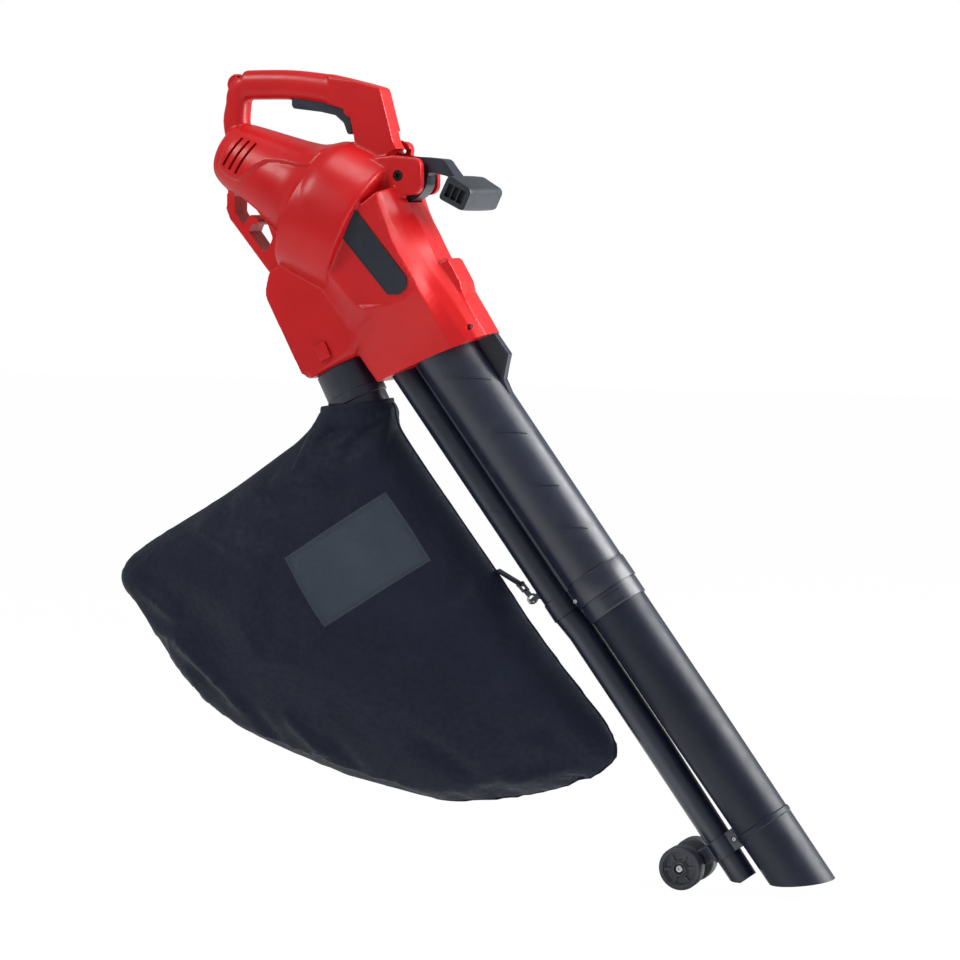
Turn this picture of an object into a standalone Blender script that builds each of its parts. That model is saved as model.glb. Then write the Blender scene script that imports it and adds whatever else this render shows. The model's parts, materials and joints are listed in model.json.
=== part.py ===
"""Corded garden blower and vacuum with a collecting bag, in the pose in which it is photographed.

Metres, +Z up, +X from the rear handle to the nozzle. The origin is the centre of the rear grip.
"""
import math

import bmesh
import bpy
from mathutils import Matrix, Vector

# Fits
FIT = 0.0003
RUNNING = 0.0010
PLUG_FIT = 0.0005
SPLIT_GAP = 0.0003
HEXAGON = math.cos(math.pi / 6)

# Motor and fan line
FAN_X = 0.0638
FAN_Z = -0.1657
FAN_TILT = math.radians(26)
MOTOR_REAR = -0.188
MOTOR_CAP = 0.006
MOTOR_REAR_RADIUS = 0.042
MOTOR_FRONT = -0.095
MOTOR_FRONT_RADIUS = 0.059
VOLUTE_REAR = -0.034
VOLUTE_FRONT = 0.035
VOLUTE_RADIUS = 0.089

# Impeller chamber, impeller and shaft
CHAMBER_REAR = -0.024
CHAMBER_FRONT = 0.026
CHAMBER_RADIUS = 0.081
IMPELLER_RADIUS = 0.074
IMPELLER_DISC = 0.0025
BLADE_HEIGHT = 0.032
BLADE_THICKNESS = 0.0024
BLADE_COUNT = 9
HUB_RADIUS = 0.013
EYE_RADIUS = 0.040
SHAFT_RADIUS = 0.0045

# Motor
STATOR_RADIUS = 0.0345
STATOR_LENGTH = 0.044
STATOR_MIDDLE = -0.108
STATOR_BORE = 0.0235
ARMATURE_LENGTH = 0.040
COMMUTATOR_RADIUS = 0.013
COMMUTATOR_LENGTH = 0.016
COMMUTATOR_MIDDLE = -0.144
BRACKET_PLATE = 0.003
BEARING_RADIUS = 0.0100
BEARING_WIDTH = 0.008
BRUSH_WIDTH = 0.006
BRUSH_LENGTH = 0.012
BRUSH_WALL = 0.0015
CAVITY_REAR = MOTOR_REAR + 0.016
CAVITY_FRONT = CHAMBER_REAR - 0.042
CAVITY_RADIUS = STATOR_RADIUS - 0.001
IMPELLER_START = CHAMBER_REAR + 0.005
NUT_START = IMPELLER_START + 0.0225
SHAFT_END = NUT_START + 0.0075
FRONT_BRACKET = CAVITY_FRONT - BEARING_WIDTH - BRACKET_PLATE
REAR_BEARING = CAVITY_REAR + BRACKET_PLATE + 2 * FIT
MOTOR_SIDES = 16

# Intake body and its flat side panels
PANEL_SLOPE = 0.096
PANEL_Y = 0.068
PANEL_MIDDLE = -0.120
INTAKE_WALL = 0.004

# Suction tube and blow duct
TUBE_X = 0.194
TUBE_Z = -0.330
TUBE_TILT = math.radians(53.5)
TUBE_WALL = 0.0022
UPPER_TOP_RADIUS = 0.0420
UPPER_END_RADIUS = 0.0400
UPPER_LENGTH = 0.372
LOWER_RADIUS = 0.0375
LOWER_LENGTH = 0.437
PLUG_LENGTH = 0.030
SLEEVE = 0.032
MOUTH_SLOPE = 0.55
DUCT_OFFSET = 0.0620
DUCT_RADIUS = 0.0180
LOWER_DUCT_OFFSET = 0.0593
LOWER_DUCT_RADIUS = 0.0178
COLLAR_DEPTH = 0.045
COLLAR_MIDDLE = 0.014
COLLAR_SLANT = 0.2415
SOCKET_END = 0.060
WEB_HALF_WIDTH = 0.006
MOUTH = UPPER_LENGTH + LOWER_LENGTH
LOWER_DUCT_END = MOUTH - 0.039
TAPER_START = UPPER_LENGTH + 0.200
TUBE_SIDES = 20
DUCT_SIDES = 14

# Outlet and bag spout
SPOUT_X = 0.056
SPOUT_Z = -0.361
SPOUT_TILT = math.radians(63.2)
SPOUT_RADIUS = 0.0350
SPOUT_WALL = 0.0022
SPOUT_BEAD = 0.0024
SPOUT_REACH = 0.048
SPOUT_DEPTH = 0.018
SPOUT_SIDES = 20
OUTLET_HALF_WIDTH = 0.042
CHAMBER_HALF_WIDTH = 0.028
LOOP_HALF_WIDTH = 0.018

# Change-over flap and its lever
FLAP_X = 0.076
FLAP_Z = -0.318
FLAP_SHAFT_RADIUS = 0.004
FLAP_LENGTH = 0.034
FLAP_REST = math.radians(-30.0)
LEVER_RADIUS = 0.014
LEVER_FACE = OUTLET_HALF_WIDTH + 0.0015

# Rear handle, trigger and dial
GRIP_HALF_WIDTH = 0.017
GRIP_HALF_HEIGHT = 0.019
TRIGGER_HALF_WIDTH = 0.0085
TRIGGER_PIVOT_X = 0.064
TRIGGER_PIVOT_Z = -0.0275
TRIGGER_PIN_RADIUS = 0.002
DIAL_X = -0.0935
DIAL_Z = 0.0020
DIAL_RADIUS = 0.0135
DIAL_HALF_WIDTH = 0.006
DIAL_SHAFT_RADIUS = 0.003
DIAL_TEETH = 8
SWITCH = ((-0.010, -0.0085, -0.0062), (0.022, 0.0085, 0.0110))
BOARD = ((-0.074, -0.0100, -0.0060), (-0.052, 0.0100, -0.0035))
CAPACITOR_RADIUS = 0.0055
CAPACITOR = (-0.046, -0.018, 0.0025)

# Mains inlet
INLET_BACK = MOTOR_REAR - MOTOR_CAP
INLET_DEPTH = 0.0130
INLET_HALF_WIDTH = 0.0125
INLET_HALF_HEIGHT = 0.0075

# Screws
SCREW_RADIUS = 0.0018
SCREW_HEAD_RADIUS = 0.0034
SCREW_SINK = 0.004
SCREW_SIDES = 6
COLLAR_SCREW_X = 0.0115
COLLAR_SCREW_Z = 0.0566
COLLAR_SCREW_FACE = 0.0300

# Front handle
PIVOT_X = 0.1475
PIVOT_Z = -0.1165
EAR_INNER = 0.0215
EAR_OUTER = 0.0325
EAR_HALF_SIZE = 0.0255
HUB_DISC_RADIUS = 0.0335
EYE_X = 0.131
EYE_Z = -0.084
EYE_INNER = 0.0180
ARM_HALF_WIDTH = 0.014
PIVOT_BOLT_RADIUS = 0.004
PIVOT_HEAD_RADIUS = 0.0065
HANDLE_GRIP_X = 0.232
HANDLE_GRIP_Z = -0.1365
HANDLE_GRIP_LENGTH = 0.104
HANDLE_GRIP_WIDTH = 0.036
HANDLE_GRIP_HEIGHT = 0.027
HANDLE_GRIP_TILT = math.radians(26)

# Wheels
WHEEL_ALONG = MOUTH - 0.095
WHEEL_OFFSET = 0.1125
WHEEL_RADIUS = 0.0272
WHEEL_WIDTH = 0.022
WHEEL_TRACK = 0.054
AXLE_RADIUS = 0.003
BRACKET_HALF_WIDTH = 0.0125
BRACKET_SCREW_DROP = 0.0400

# Bag, and the strap and hook that tie its edge to the tube
BAG_DEPTH = 0.086
STRAP_HALF_WIDTH = 0.0065
STRAP_THICKNESS = 0.0030
BAG_EDGE_X = 0.2700
BAG_EDGE_Z = -0.6150
STAPLE_X = 0.3325
STAPLE_Z = -0.0900
STAPLE_RADIUS = 0.0020
STAPLE_HALF_WIDTH = 0.0085
HOOK_TILT = math.radians(186.0)
HOOK_HALF_THICKNESS = 0.0022
HOOK_INNER = 0.0046
HOOK_OUTER = 0.0070
HOOK_BAR = 0.0240
HOOK_BAR_RADIUS = 0.0016
GATE_START = math.radians(35.0)
GATE_REACH = 0.0066


def material(name, colour, roughness, metallic=0.0):
    """One plain surface finish."""
    made = bpy.data.materials.get(name)
    if made:
        return made
    made = bpy.data.materials.new(name)
    made.use_nodes = True
    shader = made.node_tree.nodes["Principled BSDF"]
    shader.inputs["Base Color"].default_value = (*colour, 1.0)
    shader.inputs["Roughness"].default_value = roughness
    shader.inputs["Metallic"].default_value = metallic
    return made


for old in list(bpy.data.objects):
    bpy.data.objects.remove(old, do_unlink=True)

RED = material("red_plastic", (0.56, 0.016, 0.022), 0.35)
BLACK = material("black_plastic", (0.018, 0.020, 0.027), 0.42)
SOFT_BLACK = material("soft_grip", (0.030, 0.034, 0.040), 0.60)
FABRIC = material("bag_fabric", (0.012, 0.013, 0.020), 0.85)
STEEL = material("steel", (0.55, 0.56, 0.58), 0.30, 1.0)
COPPER = material("copper", (0.72, 0.36, 0.20), 0.32, 1.0)
CARBON = material("carbon", (0.03, 0.03, 0.03), 0.70)
NYLON = material("white_nylon", (0.75, 0.74, 0.70), 0.50)
BADGE = material("badge_plastic", (0.010, 0.014, 0.024), 0.25)


def axis_frame(name, x, z, tilt):
    """An empty whose X axis points forward and down by the tilt, with its Y axis across the machine."""
    empty = bpy.data.objects.new(name, None)
    bpy.context.scene.collection.objects.link(empty)
    empty.location = (x, 0.0, z)
    empty.rotation_euler = (0.0, tilt, 0.0)
    return empty


BODY = axis_frame("body_frame", 0.0, 0.0, 0.0)
FAN = axis_frame("fan_axis", FAN_X, FAN_Z, FAN_TILT)
TUBE = axis_frame("tube_axis", TUBE_X, TUBE_Z, TUBE_TILT)
SPOUT = axis_frame("spout_axis", SPOUT_X, SPOUT_Z, SPOUT_TILT)
PIVOT = axis_frame("handle_pivot", PIVOT_X, PIVOT_Z, 0.0)
TRIGGER = axis_frame("trigger_pivot", TRIGGER_PIVOT_X, TRIGGER_PIVOT_Z, 0.0)
DIAL = axis_frame("dial_axis", DIAL_X, DIAL_Z, 0.0)

SCREWS = [
    ("housing_screw_1", BODY, -0.0955, -0.056, GRIP_HALF_WIDTH),
    ("housing_screw_2", BODY, 0.1020, -0.048, GRIP_HALF_WIDTH),
    ("housing_screw_3", BODY, -0.0140, -0.274, OUTLET_HALF_WIDTH),
    ("housing_screw_4", TUBE, -0.0150, 0.0550, 0.028),
]


def add(name, mesh_source, frame, finish=None, smooth=True):
    """Turn a bmesh into an object in a frame. Without a finish it is a guide, left out of the model."""
    bmesh.ops.recalc_face_normals(mesh_source, faces=mesh_source.faces)
    mesh = bpy.data.meshes.new(name)
    mesh_source.to_mesh(mesh)
    mesh_source.free()
    made = bpy.data.objects.new(name, mesh)
    bpy.context.scene.collection.objects.link(made)
    made.parent = frame
    if finish is None:
        made.hide_render = True
        made.display_type = "WIRE"
    else:
        mesh.materials.append(finish)
    if smooth:
        mesh.shade_smooth()
        mesh.set_sharp_from_angle(angle=math.radians(35))
    return made


def rings_to_mesh(rings, closed=False):
    """Skin a list of equal rings. The ends are capped, or the last ring meets the first."""
    bm = bmesh.new()
    loops = [[bm.verts.new(p) for p in ring] for ring in rings]
    count = len(loops[0])
    pairs = list(zip(loops, loops[1:]))
    if closed:
        pairs.append((loops[-1], loops[0]))
    for first, second in pairs:
        for i in range(count):
            j = (i + 1) % count
            bm.faces.new((first[i], first[j], second[j], second[i]))
    if not closed:
        bm.faces.new(loops[0])
        bm.faces.new(loops[-1])
    return bm


def turned(profile, segments=32, closed=False, offset=(0.0, 0.0)):
    """Turn (x, radius) points about the frame's X axis, or about a line offset from it in (y, z)."""
    rings = []
    for x, radius in profile:
        ring = []
        for k in range(segments):
            turn = 2.0 * math.pi * (k + 0.5) / segments
            ring.append((x, offset[0] + radius * math.sin(turn), offset[1] + radius * math.cos(turn)))
        rings.append(ring)
    return rings_to_mesh(rings, closed)


def cross_turned(profile, segments=24, closed=False, centre=(0.0, 0.0)):
    """Turn (y, radius) points about a crosswise line through centre (x, z)."""
    rings = []
    for y, radius in profile:
        ring = []
        for k in range(segments):
            turn = 2.0 * math.pi * (k + 0.5) / segments
            ring.append((centre[0] + radius * math.cos(turn), y, centre[1] + radius * math.sin(turn)))
        rings.append(ring)
    return rings_to_mesh(rings, closed)


def rounded(corners, steps=3):
    """An outline of (x, z, radius) corners, each radius drawn as an arc."""
    points = []
    count = len(corners)
    for i, (x, z, radius) in enumerate(corners):
        here = Vector((x, z))
        if radius <= 0.0:
            points.append(here)
            continue
        back = (Vector(corners[i - 1][:2]) - here).normalized()
        ahead = (Vector(corners[(i + 1) % count][:2]) - here).normalized()
        half = back.angle(ahead) / 2.0
        reach = radius / math.tan(half)
        centre = here + (back + ahead).normalized() * radius / math.sin(half)
        start = here + back * reach - centre
        end = here + ahead * reach - centre
        sweep = start.angle_signed(end)
        for k in range(steps + 1):
            turn = -sweep * k / steps
            points.append(centre + Matrix.Rotation(turn, 2) @ start)
    return points


def slab(outline, low, high, bevel=0.0, segments=2):
    """Extrude an (x, z) outline across the machine from y = low to y = high, with rounded rims."""
    bm = bmesh.new()
    near = [bm.verts.new((p[0], low, p[1])) for p in outline]
    far = [bm.verts.new((p[0], high, p[1])) for p in outline]
    caps = [bm.faces.new(near), bm.faces.new(far)]
    count = len(near)
    for i in range(count):
        j = (i + 1) % count
        bm.faces.new((near[i], near[j], far[j], far[i]))
    if bevel > 0.0:
        rims = [edge for cap in caps for edge in cap.edges]
        bmesh.ops.bevel(bm, geom=rims, offset=bevel, offset_type="OFFSET", segments=segments,
                        profile=0.5, affect="EDGES", clamp_overlap=True)
    return bm


def block(low, high, bevel=0.0, segments=2):
    """A box between two corners, with all its edges rounded."""
    bm = bmesh.new()
    bmesh.ops.create_cube(bm, size=1.0)
    size = [b - a for a, b in zip(low, high)]
    middle = [(a + b) / 2.0 for a, b in zip(low, high)]
    for vert in bm.verts:
        vert.co = [m + c * s for m, c, s in zip(middle, vert.co, size)]
    if bevel > 0.0:
        bmesh.ops.bevel(bm, geom=list(bm.edges), offset=bevel, segments=segments, profile=0.5, affect="EDGES")
    return bm


def swept(path, sides=8, closed=False):
    """A round or oval bar along (x, y, z, half_height, half_width) stations that lie in one X-Z plane."""
    rings = []
    count = len(path)
    for i, (x, y, z, height, width) in enumerate(path):
        back = path[i - 1] if (i > 0 or closed) else path[i]
        ahead = path[(i + 1) % count] if (i < count - 1 or closed) else path[i]
        along = Vector((ahead[0] - back[0], 0.0, ahead[2] - back[2])).normalized()
        up = Vector((-along.z, 0.0, along.x))
        ring = []
        for k in range(sides):
            turn = 2.0 * math.pi * (k + 0.5) / sides
            side = math.copysign(abs(math.sin(turn)) ** 0.75, math.sin(turn)) * width
            rise = math.copysign(abs(math.cos(turn)) ** 0.75, math.cos(turn)) * height
            ring.append(Vector((x, y, z)) + up * rise + Vector((0.0, side, 0.0)))
        rings.append(ring)
    return rings_to_mesh(rings, closed)


def boolean(target, tool, operation):
    """Join, cut or trim an object with another object or with a whole collection."""
    step = target.modifiers.new(operation.lower(), "BOOLEAN")
    step.operation = operation
    step.solver = "EXACT"
    if isinstance(tool, bpy.types.Collection):
        step.operand_type = "COLLECTION"
        step.collection = tool
    else:
        step.object = tool


def gather(name, members):
    """Put guides into a collection of their own."""
    group = bpy.data.collections.new(name)
    bpy.context.scene.collection.children.link(group)
    for member in members:
        group.objects.link(member)
        bpy.context.scene.collection.objects.unlink(member)
    return group


def arc(centre, radius, start, end, steps):
    """Points on an arc in degrees, in the X-Z plane."""
    points = []
    for k in range(steps + 1):
        turn = math.radians(start + (end - start) * k / steps)
        points.append(Vector((centre[0] + radius * math.cos(turn), centre[1] + radius * math.sin(turn))))
    return points


# Two moulded halves that meet on the middle plane
def motor_casing():
    """The turned casing: vented motor end, neck and the round fan volute."""
    return turned([
        (MOTOR_REAR - MOTOR_CAP, MOTOR_REAR_RADIUS - 0.017),
        (MOTOR_REAR - 0.001, MOTOR_REAR_RADIUS - 0.006),
        (MOTOR_REAR + 0.010, MOTOR_REAR_RADIUS + 0.0005),
        (MOTOR_REAR + 0.028, MOTOR_REAR_RADIUS + 0.005),
        (MOTOR_FRONT, MOTOR_FRONT_RADIUS),
        (MOTOR_FRONT + 0.025, MOTOR_FRONT_RADIUS + 0.006),
        (VOLUTE_REAR - 0.022, VOLUTE_RADIUS - 0.016),
        (VOLUTE_REAR - 0.010, VOLUTE_RADIUS - 0.007),
        (VOLUTE_REAR, VOLUTE_RADIUS - 0.002),
        (VOLUTE_REAR + 0.016, VOLUTE_RADIUS),
        (VOLUTE_FRONT - 0.008, VOLUTE_RADIUS),
        (VOLUTE_FRONT, VOLUTE_RADIUS - 0.005),
    ], segments=20)


def half_section(right, ridge, side, left, end):
    """A ring of the intake body from five (v, y) corners of its near side, v being up and forward."""
    corners = [right, ridge, side, left, end]
    return [(v, -y) for v, y in corners] + [(v, y) for v, y in reversed(corners)]


def panel_y(along):
    """Half width of the flat side panel, which narrows towards the tube."""
    return PANEL_Y - PANEL_SLOPE * (along - PANEL_MIDDLE)


def intake_body():
    """The lofted body from the volute to the slanted collar that holds both tubes."""
    plan = [
        (-0.190, (0.0800, 0.022), (0.066, 0.056), (0.020, panel_y(-0.190)), (-0.045, panel_y(-0.190)),
         (-0.080, 0.040)),
        (-0.130, (0.0745, 0.024), (0.044, 0.060), (0.030, panel_y(-0.130)), (-0.042, panel_y(-0.130)),
         (-0.085, 0.036)),
        (-0.086, (0.0675, 0.026), (0.040, 0.056), (0.030, panel_y(-0.086)), (-0.036, panel_y(-0.086)),
         (-0.090, 0.033)),
        (-0.055, (0.0670, 0.027), (0.042, 0.052), (0.022, panel_y(-0.055) - 0.001), (-0.030, 0.055),
         (-0.092, 0.029)),
        (-0.010, (0.0660, 0.025), (0.042, 0.047), (0.010, 0.0505), (-0.040, 0.042), (-0.0925, 0.026)),
        (0.045, (0.0635, 0.024), (0.040, 0.044), (0.008, 0.0475), (-0.040, 0.039), (-0.0915, 0.024)),
    ]
    rings = []
    for along, *corners in plan:
        rings.append([(along, y, v) for v, y in half_section(*corners)])
    return rings_to_mesh(rings)


def handle_sweep():
    """Rear post and top bar of the closed handle, one rounded bar bent through the rear corner."""
    h, w = GRIP_HALF_HEIGHT, GRIP_HALF_WIDTH
    path = [(-0.092, 0.0, -0.100, 0.0155, w), (-0.0925, 0.0, -0.072, 0.0155, w),
            (-0.0955, 0.0, -0.045, 0.0165, w)]
    bend_steps = 3
    for k in range(bend_steps + 1):
        turn = math.radians(180.0 - 90.0 * k / bend_steps)
        grow = 0.0150 + (h - 0.0150) * k / bend_steps
        path.append((-0.0735 + 0.019 * math.cos(turn), 0.0, -0.0235 + 0.0245 * math.sin(turn), grow, w))
    path += [(-0.020, 0.0, 0.0005, h, w), (0.020, 0.0, -0.0035, h, w), (0.058, 0.0, -0.0105, h + 0.001, w),
             (0.088, 0.0, -0.0185, h + 0.001, w - 0.001)]
    return swept(path, sides=10)


def front_post():
    """The broad front post of the handle, which runs down into the pivot ears."""
    outline = rounded([
        (0.040, 0.0135, 0), (0.090, 0.0015, 0.030), (0.1155, -0.0055, 0.008), (0.1340, -0.074, 0.010),
        (0.150, -0.100, 0), (0.140, -0.150, 0), (0.090, -0.140, 0), (0.079, -0.068, 0.010),
        (0.0715, -0.034, 0.012), (0.040, -0.026, 0),
    ], steps=2)
    return slab(outline, -GRIP_HALF_WIDTH, GRIP_HALF_WIDTH, bevel=0.006, segments=1)


def ear(low, high):
    """One pivot ear: a rounded plate that grows out of the body."""
    s = EAR_HALF_SIZE
    x = PIVOT_X + 0.006
    outline = rounded([
        (x - s - 0.030, PIVOT_Z - s - 0.012, 0), (x - s - 0.030, PIVOT_Z + s - 0.004, 0),
        (x - s * 0.5, PIVOT_Z + s, 0.006), (x + s, PIVOT_Z + s - 0.004, 0.012),
        (x + s, PIVOT_Z - s + 0.002, 0.012), (x - s * 0.2, PIVOT_Z - s, 0.004),
    ], steps=2)
    return slab(outline, low, high, bevel=0.002, segments=1)


def outlet_body():
    """The duct that turns down from the volute to the bag spout."""
    outline = rounded([
        (-0.030, -0.240, 0.010), (-0.037, -0.268, 0.030), (0.0205, -0.379, 0.010), (0.088, -0.345, 0),
        (0.112, -0.300, 0), (0.066, -0.190, 0), (0.010, -0.205, 0),
    ], steps=2)
    return slab(outline, -OUTLET_HALF_WIDTH, OUTLET_HALF_WIDTH, bevel=0.012, segments=1)


def cable_loop():
    """The guard loop under the motor, open through the middle, in which an extension lead is hooked."""
    outline = rounded([
        (-0.104, -0.118, 0), (-0.0985, -0.143, 0), (-0.1040, -0.157, 0.006), (-0.098, -0.172, 0.014),
        (-0.040, -0.244, 0), (0.010, -0.240, 0), (-0.020, -0.170, 0), (-0.080, -0.120, 0),
    ], steps=2)
    return slab(outline, -LOOP_HALF_WIDTH, LOOP_HALF_WIDTH, bevel=0.004, segments=1)


def loop_window():
    """The opening of the guard loop, with the hook left standing on its lower rim."""
    outline = rounded([
        (-0.090, -0.142, 0.004), (-0.091, -0.162, 0.008), (-0.078, -0.180, 0),
        (-0.0735, -0.1725, 0.002), (-0.0665, -0.1655, 0.003), (-0.0560, -0.1735, 0.003),
        (-0.0590, -0.1800, 0.002), (-0.0650, -0.1765, 0.002), (-0.0700, -0.1880, 0.002),
        (-0.046, -0.219, 0.006), (-0.036, -0.196, 0.006), (-0.050, -0.160, 0), (-0.085, -0.135, 0),
    ], steps=1)
    return slab(outline, -2 * LOOP_HALF_WIDTH, 2 * LOOP_HALF_WIDTH)


def strap_eye():
    """The eye for the shoulder strap, on top of the far ear."""
    return cross_turned([(EYE_INNER, 0.0065), (EYE_INNER, 0.0115), (0.0335, 0.0115), (0.0335, 0.0065)],
                        segments=12, centre=(EYE_X, EYE_Z))


def step_band():
    """The raised band on the front of the collar."""
    outline = rounded([
        (-0.080, 0.050, 0), (-0.080, 0.0795, 0.004), (-0.043, 0.0755, 0.004), (-0.031, 0.0690, 0),
        (0.045, 0.0648, 0), (0.045, 0.050, 0),
    ], steps=2)
    return slab(outline, -0.0235, 0.0235, bevel=0.003, segments=1)


# Spaces inside the housing
def motor_space():
    """The motor bay, stepped up where the stator and the front bracket sit."""
    seat_start = STATOR_MIDDLE - STATOR_LENGTH / 2.0 - FIT
    return turned([
        (CAVITY_REAR, CAVITY_RADIUS), (seat_start, CAVITY_RADIUS),
        (seat_start, STATOR_RADIUS + FIT), (CAVITY_FRONT, STATOR_RADIUS + FIT),
    ], MOTOR_SIDES)


def neck_space():
    """The hollow between the motor bay and the fan, round the tube that the shaft runs through."""
    rear, front = CAVITY_FRONT + 0.004, CHAMBER_REAR - 0.005
    return turned([(rear, 0.014), (rear, MOTOR_FRONT_RADIUS + 0.002), (front, VOLUTE_RADIUS - 0.016),
                   (front, 0.014)], MOTOR_SIDES, closed=True)


def fan_space():
    """The flat round chamber in which the impeller runs, with the shaft hole behind it."""
    return turned([
        (CAVITY_FRONT - 0.002, SHAFT_RADIUS + 0.003), (CHAMBER_REAR, SHAFT_RADIUS + 0.003),
        (CHAMBER_REAR, CHAMBER_RADIUS), (CHAMBER_FRONT, CHAMBER_RADIUS),
    ], segments=24)


def intake_space():
    """The suction passage: a hollow inside the intake body, with a round way in and the impeller's eye."""
    wall = INTAKE_WALL
    plan = [
        (-0.186, (0.0755, 0.018), (0.062, 0.050), (0.020, panel_y(-0.186) - wall), (-0.030, panel_y(-0.186) - wall),
         (-0.034, 0.040)),
        (-0.130, (0.0700, 0.020), (0.042, 0.055), (0.028, panel_y(-0.130) - wall), (-0.032, panel_y(-0.130) - wall),
         (-0.037, 0.036)),
        (-0.086, (0.0630, 0.022), (0.038, 0.051), (0.026, panel_y(-0.086) - wall), (-0.030, panel_y(-0.086) - wall),
         (-0.037, 0.033)),
        (-0.052, (0.0620, 0.022), (0.038, 0.046), (0.020, 0.049), (-0.028, 0.046), (-0.037, 0.029)),
    ]
    rings = []
    for along, *corners in plan:
        rings.append([(along, y, v) for v, y in half_section(*corners)])
    space = add("intake_space", rings_to_mesh(rings), TUBE)
    plate = add("eye_plate", block((-0.3, -0.2, -0.3), (CHAMBER_FRONT + 0.006, 0.2, 0.3)), FAN)
    boolean(space, plate, "DIFFERENCE")
    bore = UPPER_TOP_RADIUS - TUBE_WALL
    return [
        space,
        add("eye_hole_front", turned([(CHAMBER_FRONT - 0.004, EYE_RADIUS), (CHAMBER_FRONT + 0.010, EYE_RADIUS)],
                                     TUBE_SIDES), FAN),
        add("tube_way", turned([(-0.060, bore), (-COLLAR_DEPTH + 0.002, bore)], TUBE_SIDES), TUBE),
    ]


def tube_sockets():
    """Sockets for the double tube, and the blow passage that meets the smaller one."""
    web = slab([(-COLLAR_DEPTH, -0.030), (SOCKET_END, -0.030), (SOCKET_END, -DUCT_OFFSET),
                (-COLLAR_DEPTH, -DUCT_OFFSET)], -WEB_HALF_WIDTH - FIT, WEB_HALF_WIDTH + FIT)
    return [
        add("main_socket", turned([(-COLLAR_DEPTH, UPPER_TOP_RADIUS + FIT),
                                   (SOCKET_END, UPPER_TOP_RADIUS + FIT)], TUBE_SIDES), TUBE),
        add("duct_socket", turned([(-COLLAR_DEPTH, DUCT_RADIUS + FIT), (SOCKET_END, DUCT_RADIUS + FIT)],
                                  DUCT_SIDES, offset=(0.0, -DUCT_OFFSET)), TUBE),
        add("duct_passage", turned([(-0.078, DUCT_RADIUS - TUBE_WALL), (-COLLAR_DEPTH + 0.002,
                                    DUCT_RADIUS - TUBE_WALL)], DUCT_SIDES, offset=(0.0, -DUCT_OFFSET)), TUBE),
        add("web_socket", web, TUBE),
    ]


def outlet_space():
    """The space under the fan from which air goes to the bag spout or to the blow duct."""
    seat = 0.0030
    cos_rest, sin_rest = math.cos(FLAP_REST), -math.sin(FLAP_REST)
    inner, outer = [(FLAP_X + t * cos_rest + seat * sin_rest, FLAP_Z + t * sin_rest - seat * cos_rest)
                    for t in (0.006, FLAP_LENGTH - 0.001)]
    outline = [(0.012, -0.222), (-0.010, -0.262), (0.018, -0.322), (0.034, -0.338),
               (FLAP_X - 0.012, FLAP_Z - 0.006), (FLAP_X - 0.002, FLAP_Z - 0.006), inner, outer,
               (0.108, -0.297), (0.052, -0.246), (0.040, -0.222)]
    return slab(outline, -CHAMBER_HALF_WIDTH, CHAMBER_HALF_WIDTH)


def spout_space():
    """The socket of the bag spout, stepped down to its own bore."""
    return turned([
        (-SPOUT_DEPTH - 0.024, SPOUT_RADIUS - SPOUT_WALL), (-SPOUT_DEPTH - FIT, SPOUT_RADIUS - SPOUT_WALL),
        (-SPOUT_DEPTH - FIT, SPOUT_RADIUS + FIT), (0.040, SPOUT_RADIUS + FIT),
    ], SPOUT_SIDES)


def vent_slots():
    """Three curved slots on each side of the motor end, each following the round casing."""
    slots = []
    for side in (-1, 1):
        for k in range(3):
            along = -0.164 + 0.011 * k
            rings = []
            for step in range(4):
                turn = math.radians(54.0 + 50.0 * step / 3)
                ring = []
                for x, radius in ((along - 0.0018, 0.030), (along + 0.0018, 0.030), (along + 0.0018, 0.060),
                                  (along - 0.0018, 0.060)):
                    ring.append((x, side * radius * math.sin(turn), radius * math.cos(turn)))
                rings.append(ring)
            slots.append(add(f"vent_{k}_{side}", rings_to_mesh(rings), FAN))
    return slots


def slanted_end():
    """A block that trims the collar along its slanted lower edge."""
    edge = collar_edge
    outline = [(edge(0.12), 0.12), (0.20, 0.12), (0.20, -0.13), (edge(-0.13), -0.13)]
    return slab(outline, -0.10, 0.10)


def collar_edge(v):
    """Where the collar ends along the tube, at a height v above the tube's axis."""
    return COLLAR_MIDDLE + COLLAR_SLANT * v


def grown(corners, by):
    """A block a little larger all round than the one between two corners."""
    low, high = corners
    return block([c - by for c in low], [c + by for c in high])


def trigger_slot():
    """The slot under the grip in which the trigger swings."""
    outline = [(-0.0145, -0.050), (-0.0145, -0.0066), (0.030, -0.0100), (0.060, -0.0160), (0.0700, -0.0210),
               (0.0745, -0.045), (0.0745, -0.075), (0.050, -0.075)]
    half = TRIGGER_HALF_WIDTH + RUNNING
    return slab(outline, -half, half)


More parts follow.
